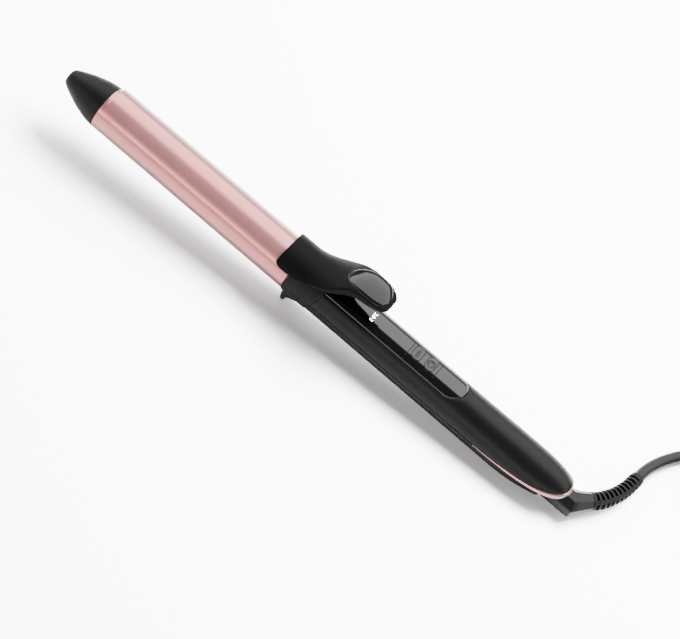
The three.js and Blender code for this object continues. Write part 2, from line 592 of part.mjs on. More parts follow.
put(iron, "heat_switch", tactSwitch(BUTTON_X[0]), 0x8a8d90, 0.45, 0.3);
put(iron, "power_switch", tactSwitch(BUTTON_X[1]), 0x8b8e91, 0.45, 0.3);
put(iron, "power_module", powerModule(), 0x2a2c30, 0.5);
put(iron, "capacitor", capacitor(), 0x2c4f8a, 0.4);
put(iron, "thermal_fuse", fuse(), 0xcfc7b4, 0.4);
put(iron, "board_screw_front", boardScrew(215.5), 0xa8aaad, 0.35, 0.9);
put(iron, "board_screw_rear", boardScrew(252), 0xa7a9ac, 0.35, 0.9);
put(iron, "shell_screw_front", shellScrew(183), 0xa6a8ab, 0.35, 0.9);
put(iron, "shell_screw_rear", shellScrew(272), 0xa5a7aa, 0.35, 0.9);
put(iron, "heater_lead_live", heaterLead(-1), 0xe0ddd4, 0.6);
put(iron, "heater_lead_neutral", heaterLead(1), 0xdfdcd2, 0.6);
put(iron, "supply_lead_live", supplyLead(-1, 294.6), 0x6b3a1e, 0.5);
put(iron, "supply_lead_neutral", supplyLead(1, 300.6), 0x2a4b9b, 0.5);
put(iron, "swivel_bush", swivelBush(), 0xc9c9c4, 0.4);
put(iron, "brush_live", brush(295.3, -1), 0xb98b3c, 0.3, 0.9);
put(iron, "brush_neutral", brush(301.3, 1), 0xba8c3d, 0.3, 0.9);
put(iron, "hinge_pin", hingePin(), 0xb0b2b5, 0.25, 0.9);
put(iron, "clamp_spring", clampSpring(), 0x9da0a4, 0.3, 0.9);
const clamp = new THREE.Group();
clamp.name = "clamp";
put(clamp, "clamp_plate", clampPlate(), 0xdaaaa6, 0.3, 0.8);
put(clamp, "lever", lever(), 0x1e1e1f, 0.55);
put(clamp, "thumb_pad", thumbPad(), 0x0c0c0d, 0.08);
put(clamp, "clamp_rivet_near", clampRivet(146.6, -4), 0xabadb0, 0.3, 0.9);
put(clamp, "clamp_rivet_far", clampRivet(149.0, 4), 0xacaeb1, 0.3, 0.9);
iron.add(clamp);
put(iron, "heat_button", button(BUTTON_X[0]), 0x121213, 0.15);
put(iron, "power_button", button(BUTTON_X[1]), 0x131314, 0.15);
const swivel = new THREE.Group();
swivel.name = "swivel";
put(swivel, "swivel_head", swivelHead(), 0x161617, 0.4);
put(swivel, "strain_relief", strainRelief(), 0x171718, 0.5);
put(swivel, "slip_ring_live", slipRing(295), 0xc09447, 0.25, 0.9);
put(swivel, "slip_ring_neutral", slipRing(301), 0xc19548, 0.25, 0.9);
put(swivel, "swivel_clip", swivelClip(), 0x9a9da0, 0.3, 0.9);
iron.add(swivel);

const group = new THREE.Group();
group.name = "curling_iron";
iron.rotation.y = THREE.MathUtils.degToRad(TILT);
iron.position.set(...IRON_AT);
group.add(iron);

// ---- the free cord, in the table's frame ----
const coilPoint = (deg, r, z) => [COIL_AT[0] + r * Math.cos((deg * Math.PI) / 180),
  COIL_AT[1] + r * Math.sin((deg * Math.PI) / 180), z];
const cordRun = () => sweep(RUN, CORD_R, 34, 8);
// seven turns as one ring: three across on the table, three on them, and one on top
function cordCoil() {
  const a = COIL_R - COIL_STEP - CORD_R, b = COIL_R + COIL_STEP + CORD_R, c = COIL_R - CORD_R, d = COIL_R + CORD_R;
  const ring = new THREE.LatheGeometry([[a, 1.6], [a + 1.5, 0.05], [b - 1.5, 0.05], [b, 1.6], [b, 11.4],
    [b - 1.5, 12.95], [d, 12.95], [d, 18.0], [d - 1.5, 19.55], [c + 1.5, 19.55], [c, 18.0], [c, 12.95],
    [a + 1.5, 12.95], [a, 11.4], [a, 1.6]].map(([r, z]) => new THREE.Vector2(r, z)), 56);
  ring.rotateX(Math.PI / 2).translate(COIL_AT[0], COIL_AT[1], 0);
  return solid(ring).subtract(sweep(RUN_CUT, CORD_R + GAP, 34, 12))
    .subtract(sweep([coilPoint(132, 37.8, 16.6), ...TAIL.map((q) => coilPoint(...q))], CORD_R + GAP, 26, 12));
}
const cordTail = () => sweep(TAIL.map((q) => coilPoint(...q)), CORD_R, 26, 8);
function plugBody() {
  const [x, y, z] = PLUG_AT;
  const rows = [[0, 5.0, 5.0], [-4, 7.5, 6.2], [-12, 13.5, 7.0], [-26, 15.0, 7.2], [-33, 14.6, 7.0], [-34, 13.8, 6.3]];
  const loops = rows.map(([d, w, h]) => {
    const loop = [];
    for (let k = 0; k < 24; k++) {
      const t = (2 * Math.PI * (k + 0.5)) / 24, c = Math.cos(t), q = Math.sin(t);
      loop.push([-d, Math.sign(c) * w * Math.pow(Math.abs(c), 0.6), Math.sign(q) * h * Math.pow(Math.abs(q), 0.6)]);
    }
    return loop;
  });
  return loft(loops).rotate([0, 0, -90]).translate([x, y, z]);
}
function plugPin(s) {
  const [x, y, z] = PLUG_AT;
  return cyl("y", 2.0, y - 53, y - 34.3, x + s * 9.5, 0, z, 16);
}
const cord = new THREE.Group();
cord.name = "cord";
put(cord, "cord_run", cordRun(), 0x2e2e30, 0.45);
put(cord, "cord_coil", cordCoil(), 0x2f2f31, 0.45);
put(cord, "cord_tail", cordTail(), 0x303032, 0.45);
put(cord, "plug_body", plugBody(), 0x1b1b1c, 0.5);
put(cord, "plug_pin_left", plugPin(-1), 0xc7c9cc, 0.2, 0.95);
put(cord, "plug_pin_right", plugPin(1), 0xc8cacd, 0.2, 0.95);
group.add(cord);

export default group;
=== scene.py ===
"""A curling iron in metres: camera, cord, outer shells, controls, swivel, materials and studio."""
import math
import bpy
import numpy as np
from mathutils import Matrix, Vector


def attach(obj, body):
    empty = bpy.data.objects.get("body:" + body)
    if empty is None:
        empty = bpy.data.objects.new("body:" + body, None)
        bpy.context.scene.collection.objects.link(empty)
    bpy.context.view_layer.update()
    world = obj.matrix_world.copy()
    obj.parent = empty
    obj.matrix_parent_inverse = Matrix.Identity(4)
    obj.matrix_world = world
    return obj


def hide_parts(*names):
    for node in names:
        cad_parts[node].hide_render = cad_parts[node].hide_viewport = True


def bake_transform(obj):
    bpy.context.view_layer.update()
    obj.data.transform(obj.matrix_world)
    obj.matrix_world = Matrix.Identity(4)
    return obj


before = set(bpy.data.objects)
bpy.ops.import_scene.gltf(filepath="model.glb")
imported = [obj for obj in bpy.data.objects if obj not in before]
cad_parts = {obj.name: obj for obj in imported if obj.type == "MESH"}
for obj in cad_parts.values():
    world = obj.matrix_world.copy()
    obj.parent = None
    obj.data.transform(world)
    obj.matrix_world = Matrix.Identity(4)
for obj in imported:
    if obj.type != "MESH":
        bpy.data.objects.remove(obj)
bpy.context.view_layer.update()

# ---------------------------------------------------------------- frame of the iron itself
TILT = math.radians(4.5)                       # the barrel points up at the tip
AT = np.array([-0.1799, -0.01386, 0.03579])    # where the tip's centre stands, in metres
SWIVEL_Z = -0.6


def place(p):
    """Points in mm along the iron's own axes (x from tip to cord, z up) as metres on the table."""
    p = np.asarray(p, float)
    c, s = math.cos(TILT), math.sin(TILT)
    x, y, z = p[..., 0], p[..., 1], p[..., 2]
    return np.stack([x * c + z * s, y, z * c - x * s], -1) / 1000 + AT


# ---------------------------------------------------------------- camera
def make_camera():
    """A long lens at the angle from which the iron lies tip up and to the left."""
    data = bpy.data.cameras.new("camera")
    cam = bpy.data.objects.new("camera", data)
    bpy.context.scene.collection.objects.link(cam)
    tilt = Matrix.Rotation(TILT, 3, "Y")
    back = (tilt @ Vector((0.07, -0.60, 0.797))).normalized()
    along = tilt @ Vector((1, 0, 0))
    flat = (along - back * along.dot(back)).normalized()
    side = back.cross(flat)
    roll = math.radians(40.45)
    right = math.cos(roll) * flat + math.sin(roll) * side
    up = math.cos(roll) * side - math.sin(roll) * flat
    aim = Vector(place([187.7, 0, 0])) - side * 0.0053
    m = Matrix((right, up, back)).transposed().to_4x4()
    m.translation = aim + back * 1.232
    cam.matrix_world = m
    data.sensor_width, data.lens = 36, 127.0
    bpy.context.scene.camera = cam


make_camera()


# ---------------------------------------------------------------- surfaces
def mesh_from(name, verts, faces, smooth_deg=38, merge=1e-7):
    """A mesh object at the origin from points in metres and faces, welded, outward and smooth."""
    import bmesh
    me = bpy.data.meshes.new(name)
    me.from_pydata([tuple(v) for v in verts], [], faces)
    bm = bmesh.new()
    bm.from_mesh(me)
    bmesh.ops.remove_doubles(bm, verts=bm.verts, dist=merge)
    bmesh.ops.dissolve_degenerate(bm, edges=bm.edges, dist=1e-8)
    bmesh.ops.recalc_face_normals(bm, faces=bm.faces)
    if bm.calc_volume(signed=True) < 0:
        bmesh.ops.reverse_faces(bm, faces=bm.faces)
    bm.to_mesh(me)
    bm.free()
    me.polygons.foreach_set("use_smooth", [True] * len(me.polygons))
    me.set_sharp_from_angle(angle=math.radians(smooth_deg))
    ob = bpy.data.objects.new(name, me)
    bpy.context.scene.collection.objects.link(ob)
    return ob


def grid_faces(nu, nv, wrap_u, wrap_v, start=0):
    """Quads of a grid of nu by nv points; a wrapped side joins its last row to its first."""
    out = []
    for i in range(nu if wrap_u else nu - 1):
        a, b = i * nv, ((i + 1) % nu) * nv
        for j in range(nv if wrap_v else nv - 1):
            k = (j + 1) % nv
            out.append((start + a + j, start + b + j, start + b + k, start + a + k))
    return out


def surface(name, points, wrap_u=False, wrap_v=False, caps=False, **kw):
    """A grid of points [u, v, xyz] in mm as one skin; caps closes the first and last rows."""
    pts = np.asarray(points, float)
    nu, nv = pts.shape[:2]
    faces = grid_faces(nu, nv, wrap_u, wrap_v)
    if caps:
        faces += [tuple(range(nv))[::-1], tuple(range((nu - 1) * nv, nu * nv))]
    return mesh_from(name, place(pts.reshape(-1, 3)), faces, **kw)


def sheet(name, points, depth, wrap_u=False, **kw):
    """An open grid of points given a second skin depth mm further along -normal, and rims."""
    pts = np.asarray(points, float)
    du = np.roll(pts, -1, 0) - np.roll(pts, 1, 0) if wrap_u else np.gradient(pts, axis=0)
    n = np.cross(du, np.gradient(pts, axis=1))
    n /= np.linalg.norm(n, axis=2, keepdims=True) + 1e-12
    nu, nv = pts.shape[:2]
    low = pts - n * depth
    loop = np.concatenate([pts, low[:, ::-1]], 1)      # across the top, then back across the bottom
    faces = grid_faces(nu, 2 * nv, wrap_u, True)
    if not wrap_u:
        for r, turn in ((0, 1), (nu - 1, -1)):
            row = [r * 2 * nv + j for j in range(2 * nv)]
            for j in range(nv - 1):
                quad = (row[j], row[j + 1], row[2 * nv - 2 - j], row[2 * nv - 1 - j])
                faces.append(quad[::turn])
    return mesh_from(name, place(loop.reshape(-1, 3)), faces, **kw)


def rounded(profile, r=0.4, steps=4):
    """A closed or open list of [x, r] corners with each corner rounded by up to r mm."""
    p = np.asarray(profile, float)
    out = [p[0]]
    for a, b, c in zip(p[:-2], p[1:-1], p[2:]):
        la, lc = np.linalg.norm(a - b), np.linalg.norm(c - b)
        d = min(r, la * 0.45, lc * 0.45)
        s, e = b + (a - b) / la * d, b + (c - b) / lc * d
        for t in np.linspace(0, 1, steps + 1):
            out.append((1 - t) ** 2 * s + 2 * t * (1 - t) * b + t * t * e)
    out.append(p[-1])
    return np.array(out)


def revolve(name, profile, seg=96, z=0.0, **kw):
    """A profile of [x, r] turned about the iron's own axis raised by z; it closes on itself."""
    p = np.asarray(profile, float)
    t = np.linspace(0, 2 * math.pi, seg, endpoint=False)
    x = np.repeat(p[:, :1], seg, 1)
    pts = np.stack([x, p[:, 1:] * np.sin(t), p[:, 1:] * np.cos(t) + z], -1)
    closed = np.linalg.norm(p[0] - p[-1]) > 1e-6 and p[0, 1] > 1e-6
    return surface(name, pts, wrap_u=closed, wrap_v=True, **kw)


def smooth_table(table, x):
    """Rows of a table read at x along a monotone cubic through them (Fritsch-Carlson slopes)."""
    t = np.asarray(table, float)
    x = np.clip(np.asarray(x, float), t[0, 0], t[-1, 0])
    h = np.diff(t[:, 0])[:, None]
    d = np.diff(t[:, 1:], axis=0) / h
    m = np.zeros_like(t[:, 1:])
    m[0], m[-1] = d[0], d[-1]
    w1, w2 = 2 * h[1:] + h[:-1], h[1:] + 2 * h[:-1]
    with np.errstate(divide="ignore", invalid="ignore"):
        inner = (w1 + w2) / (w1 / d[:-1] + w2 / d[1:])
    m[1:-1] = np.where(d[:-1] * d[1:] > 0, inner, 0)
    k = np.clip(np.searchsorted(t[:, 0], x, side="right") - 1, 0, len(t) - 2)
    s = ((x - t[k, 0]) / h[k, 0])[..., None]
    a, b, ha = t[k, 1:], t[k + 1, 1:], h[k]
    return ((1 + 2 * s) * (1 - s) ** 2 * a + s * (1 - s) ** 2 * ha * m[k]
            + s * s * (3 - 2 * s) * b + s * s * (s - 1) * ha * m[k + 1])


def sweep_points(path, rings, seg):
    """Rings of radius r (or points of a section) carried along a path with a steady frame."""
    p = np.asarray(path, float)
    t = np.gradient(p, axis=0)
    t /= np.linalg.norm(t, axis=1, keepdims=True)
    side = np.cross(t[0], [0, 0, 1.0])
    side /= np.linalg.norm(side)
    out = []
    for k in range(len(p)):
        side = side - t[k] * side.dot(t[k])
        side /= np.linalg.norm(side)
        top = np.cross(side, t[k])
        r = np.asarray(rings[k])
        w = np.linspace(0, 2 * math.pi, seg, endpoint=False)
        if r.ndim == 0:
            r = np.full(seg, float(r))
        if r.ndim == 1:
            r = np.stack([r * np.cos(w), r * np.sin(w)], 1)
        out.append(p[k] + r[:, :1] * side + r[:, 1:] * top)
    return np.array(out)


def spline(points, n):
    """n points evenly spaced along a centripetal Catmull-Rom curve through the given ones."""
    q = [Vector(v) for v in points]
    q = [q[0] * 2 - q[1]] + q + [q[-1] * 2 - q[-2]]
    out = []
    for a, b, c, d in zip(q, q[1:], q[2:], q[3:]):
        t = [0, (b - a).length ** 0.5, 0, 0]
        t[2] = t[1] + (c - b).length ** 0.5
        t[3] = t[2] + (d - c).length ** 0.5
        for s in np.linspace(t[1], t[2], 24, endpoint=False):
            a1 = a * ((t[1] - s) / t[1]) + b * (s / t[1])
            a2 = b * ((t[2] - s) / (t[2] - t[1])) + c * ((s - t[1]) / (t[2] - t[1]))
            a3 = c * ((t[3] - s) / (t[3] - t[2])) + d * ((s - t[2]) / (t[3] - t[2]))
            b1 = a1 * ((t[2] - s) / t[2]) + a2 * (s / t[2])
            b2 = a2 * ((t[3] - s) / (t[3] - t[1])) + a3 * ((s - t[1]) / (t[3] - t[1]))
            out.append(b1 * ((t[2] - s) / (t[2] - t[1])) + b2 * ((s - t[1]) / (t[2] - t[1])))
    out.append(q[-2])
    p = np.array([list(v) for v in out])
    s = np.concatenate([[0], np.cumsum(np.linalg.norm(np.diff(p, axis=0), axis=1))])
    want = np.linspace(0, s[-1], n)
    return np.stack([np.interp(want, s, p[:, k]) for k in range(3)], 1)


# ---------------------------------------------------------------- cord
CORD_R, COIL_R, COIL_STEP = 0.0032, 0.038, 0.0066
COIL_AT = (0.2460, 0.0720)
PLUG_AT = (0.2750, 0.0750, 0.0270)
RUN = [
    (0.17600, 0.02210, 0.00715), (0.17638, 0.02764, 0.0071), (0.1770, 0.0332, 0.0066), (0.1786, 0.0402, 0.0057),
    (0.1812, 0.0474, 0.0049), (0.1847, 0.0546, 0.0042), (0.1891, 0.0616, 0.0036), (0.1941, 0.0684, 0.0033),
    (0.1991, 0.0752, 0.0033), (0.2036, 0.0821, 0.0033), (0.2074, 0.0892, 0.0033),
]
TAIL = [
    (140, 37.9, 16.5), (124, 37.6, 17.2), (108, 37.0, 18.6), (93, 36.2, 20.4), (79, 35.2, 22.3), (65, 34.0, 24.0),
    (51, 32.8, 25.4), (38, 31.6, 26.4), (25, 30.5, 26.9), (13, 29.6, 27.0),
]


def coil_point(deg, r, z):
    """A point round the coil's centre, in metres."""
    a = math.radians(deg)
    return (COIL_AT[0] + r * math.cos(a), COIL_AT[1] + r * math.sin(a), z)


def coil_turns():
    """Seven turns wound clockwise: inward on the table, outward on top of them, and one over those."""
    rows = [(1, 0), (0, 0), (-1, 0), (-1, 1), (0, 1), (1, 1), (0, 2)]
    out, step = [], 10
    for k, (col, layer) in enumerate(rows):
        nxt = rows[min(k + 1, 6)]
        for j in range(0, 360, step):
            s = max(0.0, min(1.0, (j - 270) / 80))
            s = s * s * (3 - 2 * s)
            r = COIL_R + COIL_STEP * (col + (nxt[0] - col) * s)
            z = CORD_R + 0.0001 + COIL_STEP * (layer + (nxt[1] - layer) * s)
            out.append(coil_point(150 - j, r, z))
    return out


def make_cord():
    """The round sheathed cord as one tube along its route, blended from the swivel to the table."""
    route = RUN + coil_turns() + [coil_point(d, r / 1000, z / 1000) for d, r, z in TAIL]
    route.append((PLUG_AT[0], PLUG_AT[1] - 0.004, PLUG_AT[2]))
    path = spline(route, 1500)
    seg = 20
    rings = sweep_points(path, [CORD_R] * len(path), seg)
    faces = grid_faces(len(path), seg, False, True)
    faces += [tuple(range(seg))[::-1], tuple(range((len(path) - 1) * seg, len(path) * seg))]
    ob = mesh_from("cord", rings.reshape(-1, 3), faces, smooth_deg=60, merge=1e-9)
    length = float(np.linalg.norm(np.diff(path, axis=0), axis=1).sum())
    return ob, path, length


cord, CORD_PATH, CORD_LENGTH = make_cord()
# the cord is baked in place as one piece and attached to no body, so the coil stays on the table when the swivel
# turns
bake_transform(cord)
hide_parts("cord_run", "cord_coil", "cord_tail")


# ---------------------------------------------------------------- shader helpers
class Sock:
    """A shader socket that can be added, multiplied and so on; each step is one Math node."""

    def __init__(self, tree, out):
        self.tree, self.out = tree, out

    def _m(self, op, a, b=None):
        n = self.tree.nodes.new("ShaderNodeMath")
        n.operation = op
        for k, v in enumerate((a, b)):
            if isinstance(v, Sock):
                self.tree.links.new(v.out, n.inputs[k])
            elif v is not None:
                n.inputs[k].default_value = v
        return Sock(self.tree, n.outputs[0])

    def __add__(self, o): return self._m("ADD", self, o)
    def __radd__(self, o): return self._m("ADD", o, self)
    def __sub__(self, o): return self._m("SUBTRACT", self, o)
    def __rsub__(self, o): return self._m("SUBTRACT", o, self)
    def __mul__(self, o): return self._m("MULTIPLY", self, o)
    def __rmul__(self, o): return self._m("MULTIPLY", o, self)
    def __truediv__(self, o): return self._m("DIVIDE", self, o)
    def __rtruediv__(self, o): return self._m("DIVIDE", o, self)
    def __pow__(self, o): return self._m("POWER", self, o)
    def abs(self): return self._m("ABSOLUTE", self)
    def lower(self, o): return self._m("MINIMUM", self, o)
    def upper(self, o): return self._m("MAXIMUM", self, o)
    def above(self, o): return self._m("GREATER_THAN", self, o)
    def sqrt(self): return self._m("SQRT", self)
    def sin(self): return self._m("SINE", self)


class Mat:
    """A principled material with its node tree and a few shorthands."""

    def __init__(self, name, color, rough, **inputs):
        self.mat = bpy.data.materials.new(name)
        self.mat.use_nodes = True
        self.tree = self.mat.node_tree
        self.p = self.tree.nodes["Principled BSDF"]
        self.color = color
        self.put("Base Color", color)
        self.put("Roughness", rough)
        for k, v in inputs.items():
            self.put(k.replace("_", " "), v)

    def put(self, name, v):
        """Sets an input of the principled node to a socket or a plain value."""
        i = self.p.inputs[name]
        if isinstance(v, Sock):
            self.tree.links.new(v.out, i)
        else:
            i.default_value = (*v, 1) if isinstance(v, tuple) and len(v) == 3 else v

    def node(self, kind, settings=None, out=0, **inputs):
        """Adds a node of a kind with settings and inputs and returns one of its outputs."""
        n = self.tree.nodes.new(kind)
        for k, v in (settings or {}).items():
            setattr(n, k, v)
        for k, v in inputs.items():
            i = n.inputs[k.replace("_", " ")]
            if isinstance(v, Sock):
                self.tree.links.new(v.out, i)
            else:
                i.default_value = v
        return Sock(self.tree, n.outputs[out])

    def xyz(self):
        """Object coordinates in metres, in the table's frame."""
        c = self.node("ShaderNodeTexCoord", out=3)
        n = self.tree.nodes.new("ShaderNodeSeparateXYZ")
        self.tree.links.new(c.out, n.inputs[0])
        return c, [Sock(self.tree, o) for o in n.outputs]

    def along(self):
        """Coordinates in mm along the iron's own axes: x from the tip, y, and z up from its axis."""
        c, (x, y, z) = self.xyz()
        x, y, z = (x - AT[0]) * 1000, (y - AT[1]) * 1000, (z - AT[2]) * 1000
        co, si = math.cos(TILT), math.sin(TILT)
        return c, [x * co - z * si, y, x * si + z * co]

    def noise(self, coord, scale, detail=3.0, rough=0.55, out=0):
        """Fractal noise of about one cell per 1/scale metres."""
        return self.node("ShaderNodeTexNoise", out=out, Vector=coord, Scale=scale, Detail=detail, Roughness=rough)

    def tint(self, factor, a, b):
        """A colour from a to b by a factor from 0 to 1, put on Base Color."""
        n = self.tree.nodes.new("ShaderNodeMix")
        n.data_type = "RGBA"
        self.tree.links.new(factor.out, n.inputs[0])
        n.inputs[6].default_value, n.inputs[7].default_value = (*a, 1), (*b, 1)
        self.tree.links.new(n.outputs[2], self.p.inputs["Base Color"])

    def bump(self, height, strength, distance):
        """Bump from a height in units of distance metres."""
        self.put("Normal", self.node("ShaderNodeBump", Height=height, Strength=strength, Distance=distance))


def scaled(color, f):
    """A colour made f times as bright."""
    return tuple(c * f for c in color)


def moulded(name, color, rough, grain=2600, depth=0.00003, spread=0.05, **inputs):
    """Moulded plastic: spark-eroded grain, slight cloudiness of gloss and colour, faint rub marks."""
    m = Mat(name, color, rough, **{"Specular_IOR_Level": 0.065, **inputs})
    c = m.xyz()[0]
    fine, cloud, rub = m.noise(c, grain, 2), m.noise(c, 60, 4), m.noise(c, 420, 5, 0.7)
    m.tint(cloud, scaled(color, 0.86), scaled(color, 1.16))
    m.put("Roughness", rough + (cloud - 0.5) * spread * 2 + (rub - 0.5) * spread)
    m.bump(fine, 0.35, depth)
    return m.mat


def gloss(name, color, rough=0.06, level=0.15, **inputs):
    """Polished black plastic with a faint ripple and slight smears in its gloss."""
    m = Mat(name, color, rough, **inputs)
    c = m.xyz()[0]
    wave, smear = m.noise(c, 35, 2), m.noise(c, 160, 5, 0.65)
    m.put("Specular IOR Level", level)
    m.put("Roughness", rough + smear * smear * 0.06)
    m.tint(smear, scaled(color, 0.8), scaled(color, 1.3))
    m.bump(wave, 0.05, 0.0002)
    return m.mat


def rose_metal(name, color, sheen, rough, turned=True):
    """Satin rose-gold lacquer: a pink body colour under a strong pink reflection, with fine turning
    marks round the barrel, pearly speckle and soft clouding."""
    m = Mat(name, color, rough, IOR=2.08)
    m.put("Specular Tint", (*sheen, 1))
    c, (x, _, _) = m.along()
    cloud, speck = m.noise(c, 45, 4), m.noise(c, 1900, 2)
    lines = m.node("ShaderNodeTexNoise", {"noise_dimensions": "1D"}, W=x, Scale=5.0, Detail=6.0, Roughness=0.75)
    m.tint(cloud * 0.35 + speck * 0.65, scaled(color, 0.72), scaled(color, 1.28))
    m.put("Roughness", rough + (cloud - 0.5) * 0.06 + (lines - 0.5) * 0.07 + (speck - 0.5) * 0.10)
    m.bump(lines * (0.7 if turned else 0.15) + speck * 0.5, 0.12, 0.00002)
    return m.mat


def bare_metal(name, color, rough):
    """Bright or brushed metal with fine scratches."""
    m = Mat(name, color, rough, Metallic=1.0)
    c = m.xyz()[0]
    scratch = m.noise(c, 900, 6, 0.75)
    m.put("Roughness", rough + (scratch - 0.5) * 0.16)
    m.tint(scratch, scaled(color, 0.85), scaled(color, 1.1))
    m.bump(scratch, 0.1, 0.00003)
    return m.mat


ROSE, SHEEN = (0.028, 0.013, 0.0128), (1.0, 0.32, 0.305)
M = {
    "tip": moulded("tip plastic", (0.0005, 0.0005, 0.00053), 0.48, Specular_IOR_Level=0.035),
    "rose": rose_metal("rose barrel", ROSE, SHEEN, 0.25),
    "clamp": rose_metal("rose clamp", ROSE, SHEEN, 0.25),
    "trim": rose_metal("rose trim", (0.02, 0.012, 0.012), (1.0, 0.5, 0.48), 0.2, turned=False),
    "lever": moulded("lever plastic", (0.0004, 0.0004, 0.00041), 0.46, depth=0.00004, Specular_IOR_Level=0.014),
    "shell": moulded("handle plastic", (0.0006, 0.0006, 0.0006), 0.38, depth=0.00004, Specular_IOR_Level=0.04),
    "slate": moulded("slate plastic", (0.0017, 0.0017, 0.0021), 0.48, Specular_IOR_Level=0.025),
    "pad": gloss("pad gloss", (0.0002, 0.0002, 0.0002), 0.05, 0.1, IOR=1.5),
    "panel": gloss("panel gloss", (0.0002, 0.0002, 0.0002), 0.05, IOR=1.5),
    "button": gloss("button gloss", (0.0002, 0.0002, 0.0002), 0.07, IOR=1.5),
    "swivel": moulded("swivel plastic", (0.0004, 0.0004, 0.00043), 0.34, grain=3400),
    "relief": moulded("relief rubber", (0.0005, 0.0005, 0.0005), 0.42, grain=3000, Specular_IOR_Level=0.05),
    "cord": moulded("cord sheath", (0.0011, 0.0011, 0.00115), 0.38, grain=1800, depth=0.00005),
    "plug": moulded("plug rubber", (0.0008, 0.0008, 0.00085), 0.5),
    "groove": moulded("groove", (0.0003, 0.0003, 0.0003), 0.6, Specular_IOR_Level=0.15),
    "steel": bare_metal("steel", (0.30, 0.305, 0.31), 0.32),
    "brass": bare_metal("brass", (0.36, 0.23, 0.08), 0.32),
    "pin": bare_metal("pin", (0.075, 0.077, 0.08), 0.28),
    "alloy": bare_metal("alloy", (0.34, 0.345, 0.35), 0.4),
    "ceramic": moulded("ceramic", (0.72, 0.68, 0.60), 0.7),
    "nylon": moulded("nylon", (0.62, 0.62, 0.58), 0.45),
    "board": moulded("board", (0.015, 0.10, 0.03), 0.35),
    "part": moulded("component", (0.03, 0.03, 0.035), 0.45),
    "wire": moulded("wire sleeve", (0.6, 0.58, 0.53), 0.5),
}


def finish_piece(ob, mat, body, slot, *nodes):
    """Gives a piece its material and body, and hides the CAD nodes that it stands for; slot is not used."""
    ob.data.materials.clear()
    ob.data.materials.append(mat if not isinstance(mat, str) else M[mat])
    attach(ob, body)
    if nodes:
        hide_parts(*nodes)
    return ob


cord.data.materials.append(M["cord"])

# ---------------------------------------------------------------- tip and barrel
TIP = [(-1.2, 4.05), (-0.6, 4.65), (0.6, 5.4), (2.6, 6.4), (5.2, 7.55), (8.2, 8.8), (11.2, 9.85), (14.0, 10.75),
       (16.8, 11.5), (20, 12.1), (23.7, 12.5)]


def make_tip():
    """Ogive: a flat nose, a small rounded shoulder, radii along a smooth table, and a hollow back."""
    x = np.linspace(-1.2, 23.7, 66)
    r = smooth_table(TIP, x)[:, 0]
    nose = [(-1.5, 0), (-1.5, 1.6), (-1.5, 3.0), (-1.48, 3.4), (-1.4, 3.72)]
    back = [(23.7, 12.42), (23.7, 11.2), (32, 11.1), (32, 9.2), (20, 9.2), (9, 6.2), (7, 3), (7, 0)]
    return revolve("cool_tip", nose + list(zip(x, r)) + back)


def make_barrel():
    """A tube with eased front edge and a necked rear end inside the collar."""
    p = rounded([(60, 11.5), (24, 11.5), (24, 12.5), (153.4, 12.5), (153.6, 11.9), (158, 11.9), (158, 10.9),
                 (153.9, 10.9), (153.3, 11.5), (60, 11.5)], 0.25)
    return revolve("barrel", p[:-1], 128)


CLAMP_FRONT = [(25.6, 30), (25.8, 38), (26.3, 44), (27.4, 49.5), (29.2, 53.6), (31.8, 56.6), (35, 58.3), (40, 59),
               (150, 59)]


def make_clamp():
    """A plate bent over the barrel: half angle grows along x through rounded front corners."""
    x = np.concatenate([25.6 + 14.4 * np.linspace(0, 1, 30) ** 2, np.linspace(42, 150, 40)])
    half = np.radians(smooth_table(CLAMP_FRONT, x)[:, 0])
    v = np.sin(np.linspace(-1, 1, 61) * math.pi / 2)
    t = half[:, None] * v
    edge = 0.36 * np.clip((np.abs(v) - 0.96) / 0.04, 0, 1) ** 2
    nose = 0.46 * np.clip(1 - (x - 25.6) / 0.9, 0, 1)[:, None] ** 1.6
    r = 13.6 - edge - nose
    pts = np.stack([np.repeat(x[:, None], 61, 1), r * np.sin(t), r * np.cos(t)], -1)
    return sheet("clamp_plate_skin", pts, 0.95, smooth_deg=50)


# ---------------------------------------------------------------- lever and thumb pad
LEVER = [
    (144.3, 16.2, 12.1, 13.95, 11.3), (145.2, 16.2, 12.9, 13.95, 11.7), (146.8, 16.2, 13.45, 13.95, 11.9),
    (149.5, 16.2, 13.7, 13.95, 11.9), (153, 16.2, 13.6, 13.95, 11.8),
    (157, 16.3, 13.45, 13.95, 11.5), (161, 17.0, 13.35, 14.3, 11.2), (166, 18.8, 13.2, 15.1, 10.9),
    (171, 21.4, 13.0, 18.4, 12.4), (176.4, 25.0, 12.2, 20.7, 11.9), (180, 27.9, 11.2, 22.1, 10.9),
    (184, 30.1, 10.3, 24.5, 10.0), (189, 31.4, 9.8, 26.7, 9.5), (195, 31.4, 9.4, 27.2, 9.1),
    (199, 31.0, 8.7, 27.3, 8.4), (202, 30.2, 7.5, 27.35, 7.3), (204, 29.3, 5.8, 27.4, 5.6),
    (205.0, 28.6, 4.4, 27.6, 4.3),
]


def arc(x, r, w0, w1, n):
    """n points of an arc of radius r about the axis from half width w0 to w1."""
    a = np.linspace(math.asin(w0 / r), math.asin(w1 / r), n)
    return [(x, r * math.sin(t), r * math.cos(t)) for t in a]


def corner(a, b, c, n=5):
    """n points of a curve from a to c bent towards b."""
    a, b, c = np.array(a), np.array(b), np.array(c)
    return [tuple((1 - t) ** 2 * a + 2 * t * (1 - t) * b + t * t * c) for t in np.linspace(0, 1, n)]


